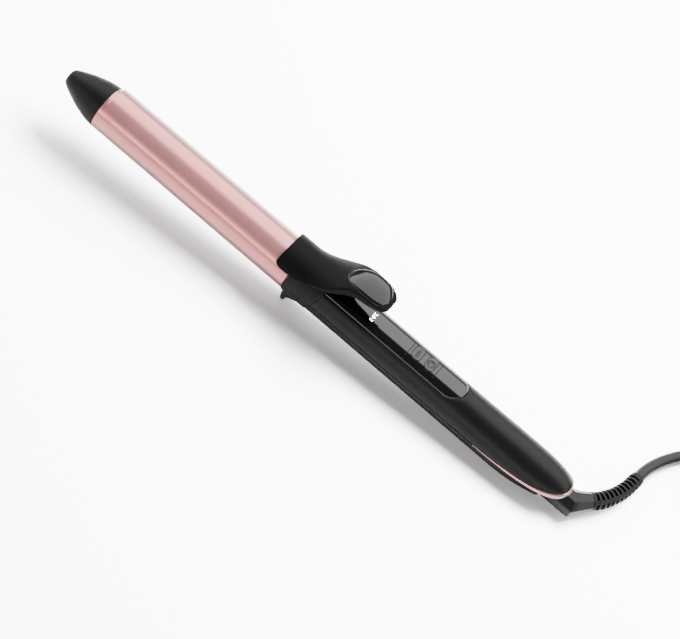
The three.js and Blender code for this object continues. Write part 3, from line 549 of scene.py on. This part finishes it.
def lever_ring(x, grow_out=0.0, grow_in=0.0, ease=0.8):
    """A closed section: outer arc, rounded edge, inner arc, rounded edge."""
    ro, wo, ri, wi = smooth_table(LEVER, np.array([x]))[0]
    ro, ri = ro + grow_out, ri + grow_in
    e = min(ease, (ro - ri) * 0.3)
    out = arc(x, ro, -(wo - e), wo - e, 33)
    inn = arc(x, ri, wi - e, -(wi - e), 27)
    far, farin = arc(x, ro, wo, wo, 1)[0], arc(x, ri, wi, wi, 1)[0]
    mid = tuple((np.array(far) + np.array(farin)) / 2)
    right = corner(out[-1], far, mid)[1:] + corner(mid, farin, inn[0])[1:-1]
    left = [(p[0], -p[1], p[2]) for p in right][::-1]
    return out + right + inn + left


def make_lever():
    """The saddle over the barrel swept into the raised thumb paddle."""
    rings = [lever_ring(144.3, -0.75, 0.75), lever_ring(144.32, -0.4, 0.4), lever_ring(144.45, -0.12, 0.15)]
    rings += [lever_ring(x) for x in np.linspace(144.8, 204.0, 110)]
    rings += [lever_ring(x) for x in (204.3, 204.6, 204.85, 205.0)]
    rings = np.array(rings)
    rings[0, :, 0], rings[1, :, 0] = 144.0, 144.06
    rings[2, :, 0] = 144.25
    top = rings[:, :, 2] / np.linalg.norm(rings[:, :, 1:], axis=2)
    rings[:8, :, 0] += 0.9 * np.clip(top[:8], 0, 1) ** 2 * np.linspace(1, 0.2, 8)[:, None]
    return surface("lever_body", rings, wrap_v=True, caps=True, smooth_deg=50)


def pad_spine(s):
    """Height above the axis of the pad's middle at x, curling down over the paddle's end."""
    return smooth_table([(178.0, 26.3), (180, 28.0), (184, 30.3), (189, 31.6), (194, 31.8), (197.5, 31.7),
                         (199.5, 31.4), (201.2, 30.8), (202.8, 29.8), (204.1, 28.5), (205.2, 26.9)], s)[:, 0]


def pad_half(x):
    """Half width of the pad at x: a long oval, fullest past its middle."""
    return smooth_table([(178.0, 0.0), (178.25, 1.5), (179, 3.25), (180.5, 4.9), (183, 6.4), (186, 7.5), (190, 8.15),
                         (194, 8.2), (198, 7.9), (201, 7.2), (203.3, 6.2), (204.6, 5.3), (205.2, 4.6)], x)[:, 0]


def make_pad(name, lift, grow, depth):
    """The glossy thumb pad: rows across the paddle, crowned, with a rounded rim."""
    x = np.concatenate([178.0 + 3 * np.linspace(0, 1, 16) ** 2, np.linspace(181.3, 205.2, 70)])
    half = pad_half(x) + grow
    v = np.sin(np.linspace(-1, 1, 49) * math.pi / 2)
    y = half[:, None] * v
    mid = pad_spine(x)[:, None] + lift
    z = mid - (31.5 - np.sqrt(31.5 ** 2 - y ** 2)) - 0.22 * np.abs(v) ** 14
    bow = 2.2 * np.clip((x - 190) / 14, 0, 1)[:, None] ** 1.5 * v ** 2
    pts = np.stack([x[:, None] - bow, y, z], -1)
    return sheet(name, pts, depth, smooth_deg=60)


# ---------------------------------------------------------------- collar and foot
SEAM_X, SEAM_LEAN = 171.5, 0.28


def make_collar():
    """A ring whose rear edge leans with the seam: for each angle a profile closed on itself."""
    t = np.linspace(0, 2 * math.pi, 128, endpoint=False)
    rows = []
    for a in t:
        rear = SEAM_X + SEAM_LEAN * 13 * math.cos(a)
        p = rounded([(160, 12.2), (153.9, 12.2), (153.9, 13.0), (rear, 13.0), (rear, 11.0), (161, 11.0),
                     (160.4, 12.2), (160, 12.2)], 0.3, 3)[:-1]
        rows.append([(x, r * math.sin(a), r * math.cos(a)) for x, r in p])
    return surface("collar_ring", rows, wrap_u=True, wrap_v=True)


def make_foot():
    """The moulded foot: a side outline carried across, narrowing downward, edges eased."""
    ztab = -12.45 - (298 - 155.5) * math.tan(TILT)
    line = spline([(154.15, 0, -11.6), (154.3, 0, -14.5), (154.5, 0, -18.5), (154.7, 0, -21.6),
                   (154.9, 0, ztab + 0.5)], 12)
    back = spline([(157.0, 0, ztab + 0.55), (157.5, 0, -20.5), (158.4, 0, -17.6), (160.3, 0, -15.0),
                   (165.0, 0, -12.4)], 14)
    low = [(155.1, 0, ztab + 0.12), (155.5, 0, ztab + 0.02), (156.4, 0, ztab + 0.05), (156.8, 0, ztab + 0.2)]
    out = np.array([tuple(p) for p in line] + low + [tuple(p) for p in back] + [(165, 0, -11.0), (154.2, 0, -11.0)])
    centre = np.array([156.3, 0, 0])
    rows = []
    for v in np.sin(np.linspace(-1, 1, 15) * math.pi / 2):
        p = out.copy()
        w = np.interp(out[:, 2], [-24.5, -11], [3.6, 8.0])
        k = 1 - 0.28 * abs(v) ** 10
        p[:, 0] = centre[0] + (out[:, 0] - centre[0]) * k
        p[:, 2] += 0.5 * abs(v) ** 10 * (out[:, 2] < -20)
        p[:, 1] = v * w
        rows.append(p)
    return surface("collar_foot", rows, wrap_v=True, caps=True, smooth_deg=60)


# ---------------------------------------------------------------- handle
TOP_SHELL = [(160, 12.6, 12.6), (262, 12.6, 12.6), (290, 12.8, 12.6), (305, 12.9, 12.5), (316, 12.6, 12.3),
             (322, 12.0, 11.9), (325.6, 11.3, 11.3), (328.6, 10.4, 10.6), (331, 9.35, 9.7), (332.8, 8.1, 8.5),
             (334, 6.7, 7.1), (334.8, 5.2, 5.4), (335.3, 3.6, 3.8)]
LOW_SHELL = [(160, 12.55, 12.55), (262, 12.55, 12.55), (285, 12.6, 12.5), (297, 12.5, 12.46), (303, 12.2, 12.1),
             (309, 11.5, 11.4), (315, 10.5, 10.4), (320, 9.4, 9.3), (322.2, 8.9, 8.8)]
TRIM_X0 = 281
PANEL_HALF, PANEL_R, FACET_Z = 8.0, 12.95, 12.45
PANEL_STRAIGHT, PANEL_BEND = 253, 8.6          # where the panel's sides end, and the depth of its round end
BUTTON_X, BUTTON_W, BUTTON_L = (230.0, 238.7), 5.6, 9.6


def trim_mid(x):
    """Height of the trim's middle line above the handle's axis."""
    return 7.0 * np.clip((x - TRIM_X0) / 53, 0, None) ** 1.9


def trim_wide(x):
    """Width of the trim, from a hairline to its full width at the end."""
    return 0.3 + 1.9 * np.clip((x - TRIM_X0) / 50, 0, 1) ** 1.1


def shell_point(table, x, phi, inset=0.0):
    """A point of a shell at x and an angle from the top, inset below the skin."""
    r = smooth_table(table, x)
    return np.stack([x, (r[..., 0] - inset) * np.sin(phi), (r[..., 1] - inset) * np.cos(phi)], -1)


def arch(offset, n):
    """x and angle along the line where height above the axis is the trim's line plus an offset.

    Runs from the seam side along the parting line, over the handle's end, for one half (0 to 90 degrees)."""
    x = np.concatenate([np.linspace(200, 300, 60), 300 + 36 * (1 - (1 - np.linspace(0, 1, 900)) ** 2)])
    z = np.where(x > TRIM_X0 - 0.5, trim_mid(x) + offset(x), offset(np.float64(TRIM_X0)))
    h = smooth_table(TOP_SHELL, x)[:, 1]
    ok = z < h
    x, z, h = x[ok], z[ok], h[ok]
    phi = np.arccos(np.clip(z / h, -1, 1))
    p = shell_point(TOP_SHELL, x, phi)
    end = len(x) - 1
    x, phi = np.append(x, x[end] + 0.02), np.append(phi, 0.0)
    p = np.vstack([p, shell_point(TOP_SHELL, x[-1:], phi[-1:])])
    s = np.concatenate([[0], np.cumsum(np.linalg.norm(np.diff(p, axis=0), axis=1))])
    keep = s >= np.interp(TRIM_X0 - 13, x, s)
    s, x, phi = s[keep] - s[keep][0], x[keep], phi[keep]
    want = np.linspace(0, s[-1], n)
    return np.interp(want, s, x), np.interp(want, s, phi)


def make_top_shell():
    """A band between the panel's outline and the parting line and trim, wrapped round the rear."""
    nq, ns = 110, 26
    s = 1 - np.cos(np.linspace(0, 1, ns) * math.pi / 2) * 1.0
    s = np.concatenate([[0, 0.012], np.linspace(0.03, 0.97, ns), [0.988, 1]])
    inset = 0.32 * (np.clip(1 - s / 0.03, 0, 1) ** 2 + np.clip((s - 0.972) / 0.028, 0, 1) ** 2)
    pa = math.asin((PANEL_HALF + 0.22) / 12.6)
    f = np.linspace(0, 1, 70)[:, None]
    phi = pa + (math.pi / 2 - 0.008 - pa) * s[None] + 0 * f
    seam = SEAM_X + 0.3 + SEAM_LEAN * 12.6 * np.cos(phi)
    x = (1 - f) * seam + f * (253 + (TRIM_X0 - 13 - 253) * s[None])
    straight = np.stack([x, phi], -1)
    bx, bphi = arch(lambda q: trim_wide(q) / 2 + 0.1, nq)
    th = np.linspace(0, math.pi / 2, nq)
    ax = 253 + 9.25 * np.sin(th)
    aphi = np.arcsin((PANEL_HALF + 0.22) * np.cos(th) / 12.6)
    bend = np.stack([ax[:, None] + (bx - ax)[:, None] * s, aphi[:, None] + (bphi - aphi)[:, None] * s], -1)
    half = np.concatenate([straight[:-1], bend], 0)
    full = np.concatenate([half, (half * [1, -1])[::-1][1:]], 0)
    pts = shell_point(TOP_SHELL, full[..., 0], full[..., 1], inset[None])
    return sheet("handle_upper", pts, 1.9, smooth_deg=60)


def make_low_shell():
    """The lower half: rows along x from the leaning seam, from one parting edge under to the other."""
    f = np.concatenate([np.linspace(0, 0.75, 60), np.linspace(0.76, 1, 40)])[:, None]
    xb = 171.8 + f * (322.2 - 171.8)
    h = smooth_table(LOW_SHELL, xb[:, 0])[:, 1:]
    edge = np.where(xb > TRIM_X0 - 0.5, trim_mid(xb) - trim_wide(xb) / 2 - 0.12, -0.16)
    start = np.arccos(np.clip(edge / h, -1, 1))
    v = np.concatenate([[-1, -0.994], np.linspace(-0.985, 0.985, 70), [0.994, 1]])[None]
    phi = math.pi + (math.pi - start) * v
    x = (1 - f) * (SEAM_X + 0.3 + SEAM_LEAN * 12.5 * np.cos(phi)) + f * 322.2
    inset = 0.32 * np.clip((np.abs(v) - 0.982) / 0.018, 0, 1) ** 2 + 0.5 * np.clip((f - 0.985) / 0.015, 0, 1) ** 2
    pts = shell_point(LOW_SHELL, x, phi, inset)
    table = -12.45 - (298 - pts[..., 0]) * math.tan(TILT) + 0.02
    pts[..., 2] = np.maximum(pts[..., 2], table)
    return sheet("handle_lower", pts, 1.5, smooth_deg=60)


def make_trim():
    """The metal band round the handle's end: lerped between its two edge lines, crowned, closed inside."""
    n = 150
    ux, up = arch(lambda q: trim_wide(q) / 2, n)
    dx, dp = arch(lambda q: -trim_wide(q) / 2, n)
    keep = np.maximum(ux, dx) > TRIM_X0
    ux, up, dx, dp = ux[keep], up[keep], dx[keep], dp[keep]
    w = np.linspace(0, 1, 11)
    x = ux[:, None] + (dx - ux)[:, None] * w
    phi = up[:, None] + (dp - up)[:, None] * w
    x = np.concatenate([x, x[::-1][1:]], 0)
    phi = np.concatenate([phi, -phi[::-1][1:]], 0)
    wide = np.clip(trim_wide(x[:, :1]), 0.3, 2.2)
    out = shell_point(TOP_SHELL, x, phi, -0.04 - 0.16 * wide * (1 - (2 * w - 1) ** 2))
    axis = np.array([0, 0, SWIVEL_Z])
    rad = out - axis
    rad[..., 0] = 0
    r = np.linalg.norm(rad, axis=2, keepdims=True)
    out = out + rad / r * np.maximum(0, 7.3 - r)
    low = smooth_table(LOW_SHELL, x)[..., :1] - 1.2
    inner = np.maximum(7.12, np.minimum(r - 0.9, low))
    back = axis + rad / r * inner
    back[..., 0] = np.minimum(out[..., 0], 333.6)
    loop = np.concatenate([out, back[:, ::-1]], 1)
    return surface("trim_rail", loop, wrap_v=True, caps=True, smooth_deg=50)


def panel_top(y):
    """Height of the panel's skin at y: a round skin cut by a flat, with the cut eased."""
    r = np.sqrt(PANEL_R ** 2 - np.minimum(np.abs(y), 12) ** 2)
    d = r - FACET_Z
    return FACET_Z + np.where(np.abs(d) < 0.06, -((0.06 - d) ** 2) / 0.24, np.minimum(d, 0))


def make_panel():
    """The glossy panel: rows across it, flat on top, rounded sides, eased edge, round rear end."""
    th = np.linspace(0, math.pi / 2, 40)
    f = np.linspace(0, 1, 60)
    rows = []
    v = np.sin(np.linspace(-1, 1, 90) * math.pi / 2)
    drop = [1.6, 0.9, 0.5, 0.26, 0.08]
    side = PANEL_HALF - 0.42
    bend = [(PANEL_STRAIGHT + PANEL_BEND * math.sin(t), side * math.cos(t) + 1e-4) for t in th]
    for x, half in [(None, side)] * 59 + bend:
        k = len(rows)
        y = v * half
        z = panel_top(y)
        xx = np.full_like(y, x or 0)
        if x is None:
            xx = (1 - f[k]) * (SEAM_X + 0.3 + SEAM_LEAN * z) + f[k] * PANEL_STRAIGHT
        top = np.stack([xx, y, z], 1)
        inw = np.array([0.0, 0.0, 0.05, 0.16, 0.42])
        left = [top[0] + [0, i0 - 0.42, -d] for d, i0 in zip(drop, inw)]
        right = [top[-1] + [0, 0.42 - i0, -d] for d, i0 in zip(drop[::-1], inw[::-1])]
        if x is not None:
            shift = min(1, (x - PANEL_STRAIGHT) / PANEL_BEND) * 0.42
            left = [q + [s2, 0, 0] for q, s2 in zip(left, np.array([1, 1, 0.9, 0.6, 0.2]) * shift)]
            right = [q + [s2, 0, 0] for q, s2 in zip(right, np.array([0.2, 0.6, 0.9, 1, 1]) * shift)]
        rows.append(np.vstack([left, top, right]))
    rows = np.array(rows)
    return surface("panel_skin", rows, smooth_deg=35, merge=2e-6)


def make_button(name, cx):
    """A stadium cap flush with the panel: rings from its middle out, then an eased edge and a skirt."""
    t = np.linspace(0, 2 * math.pi, 72, endpoint=False)
    spine = BUTTON_L / 2 - BUTTON_W / 2
    rings = []
    for rho, down in [(0.02, 0), (0.2, 0), (0.4, 0), (0.6, 0), (0.8, 0), (0.93, 0), (0.965, 0.02), (0.99, 0.09),
                      (1.0, 0.2), (1.0, 3.0)]:
        x = cx + rho * (BUTTON_W / 2) * np.cos(t)
        y = rho * (spine * np.sign(np.sin(t)) * np.minimum(1, np.abs(np.sin(t)) * 6) + BUTTON_W / 2 * np.sin(t))
        rings.append(np.stack([x, y, panel_top(y) + 0.05 - down], 1))
    return surface(name, rings, wrap_v=True, caps=True, smooth_deg=50)


def ribbons(name, lines, width, lift, thick=0.05):
    """Thin strokes printed on the panel: each polyline of (x, y) as a low raised strip."""
    verts, faces = [], []
    for line in lines:
        p = np.array(line, float)
        d = np.gradient(p, axis=0)
        d /= np.linalg.norm(d, axis=1, keepdims=True) + 1e-9
        nrm = np.stack([-d[:, 1], d[:, 0]], 1) * width / 2
        start, n = len(verts), len(p)
        for q in range(n):
            for side in (-1, 1):
                x, y = p[q] + side * nrm[q]
                z = float(panel_top(np.float64(y)))
                verts.append(place([x, y, z + lift]))
                verts.append(place([x, y, z + lift - thick]))
        for q in range(n - 1):
            a, b = start + 4 * q, start + 4 * q + 4
            faces += [(a, a + 2, b + 2, b), (a + 1, b + 1, b + 3, a + 3)]
            faces += [(a, b, b + 1, a + 1), (a + 2, a + 3, b + 3, b + 2)]
        e = start + 4 * (n - 1)
        faces += [(start, start + 1, start + 3, start + 2), (e, e + 2, e + 3, e + 1)]
    return mesh_from(name, verts, faces, merge=1e-9)


# ---------------------------------------------------------------- swivel and strain relief
NECK_X, NECK_TURN = 337.8, math.radians(49.6)
RELIEF = [(345.28, 8.78), (345.62, 9.33), (347.0, 10.8), (348.9, 13.2), (350.9, 16.6), (353.2, 21.2),
          (355.0, 26.2), (356.2, 31.4), (356.9, 36.6), (357.4, 41.0)]


def eight(radius, n=6, ease=0.16):
    """A regular octagon of points (y, z) with eased corners and a flat top."""
    out = []
    for k in range(8):
        a = math.pi / 8 + k * math.pi / 4
        for s in np.linspace(-1, 1, n):
            b = a + s * ease
            flat = math.cos(math.pi / 8) / max(abs(math.cos(((b + math.pi / 8) % (math.pi / 4)) - math.pi / 8)), 0.1)
            r = min(radius * flat, radius * 0.985)
            out.append((r * math.cos(b), r * math.sin(b)))
    return np.array(out)


def make_swivel():
    """An octagonal barrel bent through a mitre into a neck that narrows towards the strain relief."""
    sec = eight(7.15)
    rings = []
    for x in (291.0, 321.9):
        rings.append([(x, y * 0.5, z * 0.5 + SWIVEL_Z) for y, z in sec])
    rings.append([(322.4, y * 0.95, z * 0.95 + SWIVEL_Z) for y, z in sec])
    rings.append([(322.8, y, z + SWIVEL_Z) for y, z in sec])
    rings.append([(NECK_X - y * math.tan(NECK_TURN / 2) - 0.25, y, z + SWIVEL_Z) for y, z in sec])
    c, s = math.cos(NECK_TURN), math.sin(NECK_TURN)
    for d, k in ((0.25, 0.995), (3.8, 0.90), (8.0, 0.79), (11.4, 0.735), (11.75, 0.70)):
        lean = math.tan(NECK_TURN / 2) * max(0, 1 - d / 9)
        ring = []
        for y, z in sec:
            out, off = d + y * k * lean, y * k
            ring.append((NECK_X + c * out - s * off, s * out + c * off, z * k + SWIVEL_Z))
        rings.append(ring)
    return surface("swivel_elbow", rings, wrap_v=True, caps=True, smooth_deg=24)


SPINE_TURN = 0.64


def make_relief():
    """The bend relief: ribs and slots either side of a spine above and below, narrowing to the cord."""
    n_slots, seg = 11, 64
    path = spline([(x, y, SWIVEL_Z) for x, y in RELIEF], 400)
    s = np.concatenate([[0], np.cumsum(np.linalg.norm(np.diff(path, axis=0), axis=1))])
    total = s[-1]
    stops, kinds = [0, 0.25, 1.6], [1, 1, 1]
    pitch = (total - 4.0) / n_slots
    for k in range(n_slots):
        a = 1.8 + k * pitch
        for d, kind in ((0.0, 1), (0.12, 0), (pitch * 0.55, 0), (pitch * 0.55 + 0.12, 1)):
            stops.append(a + d)
            kinds.append(kind)
    stops += [total - 1.6, total - 1.5, total - 0.5, total - 0.15, total]
    kinds += [1, 2, 2, 3, 4]
    stops = np.array(stops)
    pts = np.stack([np.interp(stops, s, path[:, k]) for k in range(3)], 1)
    w = np.linspace(0, 2 * math.pi, seg, endpoint=False)
    rings = []
    for q, kind in zip(stops / total, kinds):
        base = 5.0 - 1.0 * q
        top = base + 0 * w
        if kind == 0:
            spine = np.clip((np.abs(np.sin(w + SPINE_TURN)) - 0.955) / 0.02, 0, 1)
            top = (base - 1.5 + 0.2 * q) + spine * (1.45 - 0.2 * q)
        if kind == 2:
            top = base - 0.12 + 0 * w
        if kind == 3:
            top = base - 0.3 + 0 * w
        if kind == 4:
            top = base - 0.7 + 0 * w
        rings.append(top * (0.96 if q == 0 else 1))
    return surface("bend_relief", sweep_points(pts, rings, seg), wrap_v=True, caps=True, smooth_deg=28)


# ---------------------------------------------------------------- plug
def make_plug():
    """A flat two-pin plug: rounded-rectangle sections along its length."""
    rows = [(0, 4.2, 4.2), (0.5, 4.9, 4.9), (4, 7.5, 6.2), (9, 11.8, 6.9), (14, 14.2, 7.1),
            (26, 15.0, 7.2), (33, 14.6, 7.0), (33.8, 14.2, 6.6), (34, 13.6, 6.0)]
    t = np.linspace(0, 2 * math.pi, 72, endpoint=False)
    rings = []
    for d in np.concatenate([[0, 0.2, 0.5], np.linspace(1, 32.8, 40), [33.2, 33.5, 33.8, 34]]):
        w, h = smooth_table(rows, np.array([d]))[0]
        c, q = np.cos(t), np.sin(t)
        x = PLUG_AT[0] + np.sign(c) * w * np.abs(c) ** 0.6 / 1000
        z = PLUG_AT[2] + np.sign(q) * h * np.abs(q) ** 0.6 / 1000
        rings.append(np.stack([x, np.full_like(x, PLUG_AT[1] - d / 1000), z], 1))
    rings = np.array(rings)
    faces = grid_faces(len(rings), 72, False, True)
    faces += [tuple(range(72))[::-1], tuple(range((len(rings) - 1) * 72, len(rings) * 72))]
    return mesh_from("plug_moulding", rings.reshape(-1, 3), faces)


PIN_SPACING = 0.019


def make_pin(name, side):
    """A plug pin: a rod with a rounded end, thicker where it is sleeved."""
    rows = [(34.2, 2.0), (44.0, 2.0), (44.1, 1.95), (51.4, 1.95), (52.2, 1.75), (52.8, 1.2), (53.0, 0.4)]
    t = np.linspace(0, 2 * math.pi, 32, endpoint=False)
    px, py, pz = PLUG_AT[0] + side * PIN_SPACING / 2, PLUG_AT[1], PLUG_AT[2]
    rings = [[(px + r * math.cos(a) / 1000, py - d / 1000, pz + r * math.sin(a) / 1000) for a in t] for d, r in rows]
    faces = grid_faces(len(rows), 32, False, True)
    faces += [tuple(range(32))[::-1], tuple(range((len(rows) - 1) * 32, len(rows) * 32))]
    return mesh_from(name, np.array(rings).reshape(-1, 3), faces)


# ---------------------------------------------------------------- assembly
def panel_material():
    """Gloss black with stadium holes where the buttons sit."""
    m = Mat("panel gloss cut", (0.0004, 0.0004, 0.0004), 0.05, IOR=1.5)
    c, (x, y, z) = m.along()
    smear = m.noise(c, 160, 5, 0.65)
    m.put("Specular IOR Level", 0.15)
    m.put("Roughness", 0.04 + smear * smear * 0.05)
    out = None
    for bx in BUTTON_X:
        dy = (y.abs() - (BUTTON_L - BUTTON_W) / 2).upper(0.0)
        dx = x - bx
        d = ((dx * dx + dy * dy).sqrt()).above(BUTTON_W / 2 + 0.22)
        out = d if out is None else out * d
    m.put("Alpha", out.upper((z - 10.6).above(0) * -1 + 1))
    m.bump(m.noise(c, 35, 2), 0.04, 0.0002)
    return m.mat


finish_piece(make_tip(), "tip", "iron", "cool_tip", "tip_cap")
finish_piece(make_barrel(), "rose", "iron", "rose_metal", "barrel_tube")
finish_piece(make_clamp(), "clamp", "clamp", "rose_metal", "clamp_plate")
finish_piece(make_lever(), "lever", "clamp", "black_plastic", "lever")
finish_piece(make_pad("thumb_inlay", 0.18, 0.0, 1.0), "pad", "clamp", "gloss_black", "thumb_pad")
finish_piece(make_pad("thumb_groove", 0.03, 0.4, 0.7), "groove", "clamp", "black_plastic")
finish_piece(make_collar(), "slate", "iron", "slate_plastic", "collar")
finish_piece(make_foot(), "slate", "iron", "slate_plastic", "collar")
finish_piece(make_top_shell(), "shell", "iron", "black_plastic", "handle_top_shell")
finish_piece(make_low_shell(), "shell", "iron", "black_plastic", "handle_bottom_shell")
finish_piece(make_trim(), "trim", "iron", "rose_trim", "trim_band")
finish_piece(make_panel(), panel_material(), "iron", "gloss_black", "control_panel")
finish_piece(make_button("heat_key", BUTTON_X[0]), "button", "heat_button", "gloss_black", "heat_button")
finish_piece(make_button("power_key", BUTTON_X[1]), "button", "power_button", "gloss_black", "power_button")
finish_piece(make_swivel(), "swivel", "swivel", "swivel_plastic", "swivel_head")
finish_piece(make_relief(), "relief", "swivel", "soft_black", "strain_relief")
plug = finish_piece(make_plug(), "plug", "iron", "soft_black", "plug_body")
pins = [finish_piece(make_pin("pin_" + n, s), "pin", "iron", "steel", "plug_pin_" + n)
        for n, s in (("left", -1), ("right", 1))]

KEEP = {
    "ceramic": ["barrel_mount", "heater_plate", "thermal_fuse"], "alloy": ["spreader_upper", "spreader_lower"],
    "part": ["temperature_sensor", "display_module", "heat_switch", "power_switch", "power_module", "capacitor"],
    "board": ["circuit_board"], "nylon": ["swivel_bush"], "brass": ["brush_live", "brush_neutral", "slip_ring_live",
                                                                    "slip_ring_neutral"],
    "steel": ["board_screw_front", "board_screw_rear", "shell_screw_front", "shell_screw_rear", "hinge_pin",
              "clamp_spring", "clamp_rivet_near", "clamp_rivet_far", "swivel_clip"],
    "wire": ["heater_lead_live", "heater_lead_neutral", "supply_lead_live", "supply_lead_neutral"],
}
for key, names in KEEP.items():
    for name in names:
        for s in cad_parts[name].material_slots:
            s.material = M[key]


# ---------------------------------------------------------------- prints on the panel
def printed(name, color, rough, emit=0.0):
    """Ink, or a lit figure when emit is above 0."""
    m = Mat(name, color, rough)
    c = m.xyz()[0]
    m.put("Roughness", rough + m.noise(c, 2200, 3) * 0.1)
    m.put("Specular IOR Level", 0.0)
    if emit:
        m.put("Emission Color", color)
        m.put("Emission Strength", emit)
    return m.mat


M["white"] = printed("lit figure", (0.95, 0.97, 1.0), 0.4, 4.0)
M["ink"] = printed("icon ink", (0.002, 0.002, 0.002), 0.55)


def ring_line(cx, cy, r, a0, a1, n=24):
    """Points of an arc in degrees."""
    return [(cx + r * math.cos(math.radians(t)), cy + r * math.sin(math.radians(t))) for t in np.linspace(a0, a1, n)]


def digits():
    """The figures 210, a degree sign and C, as strokes, reading across the handle towards the rear side."""
    seg = {"2": "abged", "1": "bc", "0": "abcdef", "C": "afed"}
    ends = {"a": ((0, 2), (1, 2)), "b": ((1, 2), (1, 1)), "c": ((1, 1), (1, 0)), "d": ((1, 0), (0, 0)),
            "e": ((0, 0), (0, 1)), "f": ((0, 1), (0, 2)), "g": ((0, 1), (1, 1))}
    out, w, h, foot, y0 = [], 0.85, 0.85, 201.6, -3.7
    for ch, step in (("2", 1.5), ("1", 1.15), ("0", 1.5), ("o", 0.8), ("C", 0)):
        if ch == "o":
            out.append(ring_line(foot - 1.6, y0 + 0.15, 0.24, 0, 360, 12))
        else:
            for k in seg[ch]:
                (a, b), (c, d) = ends[k]
                out.append([(foot - b * h, y0 + a * w), (foot - (b + d) / 2 * h, y0 + (a + c) / 2 * w),
                            (foot - d * h, y0 + c * w)])
        y0 += step
    return out


finish_piece(ribbons("display_figures", digits(), 0.22, 0.05), "white", "iron", "gloss_black")
marks = [[(x, y) for y in np.linspace(-5.6, 5.6, 24)] for x in (225.4, 243.6)]
finish_piece(ribbons("panel_lines", marks, 0.4, 0.02), "ink", "iron", "gloss_black")
bx, px = BUTTON_X
heat = [ring_line(bx + 0.2, -2.4, 0.75, -60, 240), [(bx - 0.4, -1.8), (bx - 0.4, -0.2)],
        [(bx + 0.8, -1.8), (bx + 0.8, -0.2)], [(bx - 1.2, 1.2), (bx + 1.2, 1.2)], [(bx, 0.4), (bx, 2.0)],
        [(bx - 0.9, 3.0), (bx + 0.9, 3.0)], [(bx - 1.2, 0.1), (bx + 1.2, 0.1)]]
power = [ring_line(px, 0, 1.45, -60, 240), [(px, 1.9), (px, 0.2)], ring_line(px, 0, 2.2, 0, 360, 36)]
finish_piece(ribbons("heat_icon", heat, 0.4, 0.08), "ink", "heat_button", "gloss_black")
finish_piece(ribbons("power_icon", power, 0.4, 0.08), "ink", "power_button", "gloss_black")


# ---------------------------------------------------------------- studio
def revolved_wall(name, radius, height):
    """A round upright wall, rising from the floor in a quarter-round cove."""
    th = np.linspace(0, 2 * math.pi, 96, endpoint=False)
    cove = [(radius - 0.5 + 0.5 * math.sin(a), 0.5 - 0.5 * math.cos(a)) for a in np.linspace(0, math.pi / 2, 12)]
    rings = [[(r * math.cos(t), r * math.sin(t), z) for t in th] for r, z in cove + [(radius, height)]]
    verts = [p for ring in rings for p in ring]
    me = bpy.data.meshes.new(name)
    me.from_pydata(verts, [], grid_faces(len(rings), 96, False, True))
    ob = bpy.data.objects.new(name, me)
    bpy.context.scene.collection.objects.link(ob)
    return ob


def studio():
    """A pale floor and wall, one broad lamp overhead, and surroundings like a long softbox to the rear."""
    me = bpy.data.meshes.new("floor")
    me.from_pydata([(-3, -3, 0), (3, -3, 0), (3, 3, 0), (-3, 3, 0)], [], [(0, 1, 2, 3)])
    floor = bpy.data.objects.new("floor", me)
    bpy.context.scene.collection.objects.link(floor)
    m = Mat("floor", (0.375, 0.373, 0.38), 0.75)
    m.put("Specular IOR Level", 0.2)
    me.materials.append(m.mat)
    wall = revolved_wall("backdrop", 2.9, 2.4)
    back = Mat("backdrop", (0.8, 0.8, 0.8), 0.9)
    back.put("Emission Color", (1.0, 0.995, 0.995, 1))
    back.put("Emission Strength", 11.5)
    wall.data.materials.append(back.mat)
    wall.visible_diffuse = wall.visible_glossy = wall.visible_shadow = wall.visible_transmission = False
    data = bpy.data.lights.new("key", "AREA")
    data.shape, data.size, data.size_y, data.energy, data.color = "RECTANGLE", 0.8, 0.65, 555, (1.0, 0.99, 0.985)
    key = bpy.data.objects.new("key", data)
    bpy.context.scene.collection.objects.link(key)
    d = Vector((0.22, 0.42, 1.0)).normalized()
    q = (-d).to_track_quat("-Z", "Y").to_matrix().to_4x4()
    q.translation = d * 1.4
    key.matrix_world = q
    key.visible_glossy = False
    w = bpy.data.worlds.new("sky")
    bpy.context.scene.world = w
    w.use_nodes = True
    tree, bg = w.node_tree, w.node_tree.nodes["Background"]
    c = tree.nodes.new("ShaderNodeTexCoord")
    n = tree.nodes.new("ShaderNodeSeparateXYZ")
    tree.links.new(c.outputs[0], n.inputs[0])
    y, z = (Sock(tree, n.outputs[k]) for k in (1, 2))
    angle = y._m("ARCTAN2", y, z) * (180 / math.pi)
    ramp = tree.nodes.new("ShaderNodeFloatCurve")
    tree.links.new((angle / 360 + 0.5).out, ramp.inputs[1])
    curve = ramp.mapping.curves[0]
    stops = [(a / 360 + 0.5, v / SKY_TOP) for a, v in SKY]
    curve.points[0].location, curve.points[1].location = stops[0], stops[-1]
    for p in stops[1:-1]:
        curve.points.new(*p)
    for p in curve.points:
        p.handle_type = "VECTOR"
    ramp.mapping.update()
    tree.links.new((Sock(tree, ramp.outputs[0]) * SKY_TOP).out, bg.inputs[1])
    bg.inputs[0].default_value = (1.0, 0.965, 0.975, 1)


# brightness of the surroundings by the angle from overhead, in degrees towards the rear; the
# near side is dark round the eye and has a low bright strip
SKY = [(-180, 0.6), (-92, 0.6), (-88, 1.6), (-81, 9.0), (-77, 24.0), (-71, 24.0), (-66, 8.0), (-60, 3.0), (-53, 1.2),
       (-46, 0.3), (0, 0.3), (9, 17.0), (59, 17.0), (65, 1.0), (76, 1.0), (84, 4.0), (92, 1.5), (180, 1.5)]

SKY_TOP = 26    # the curve holds shares of this brightness


studio()
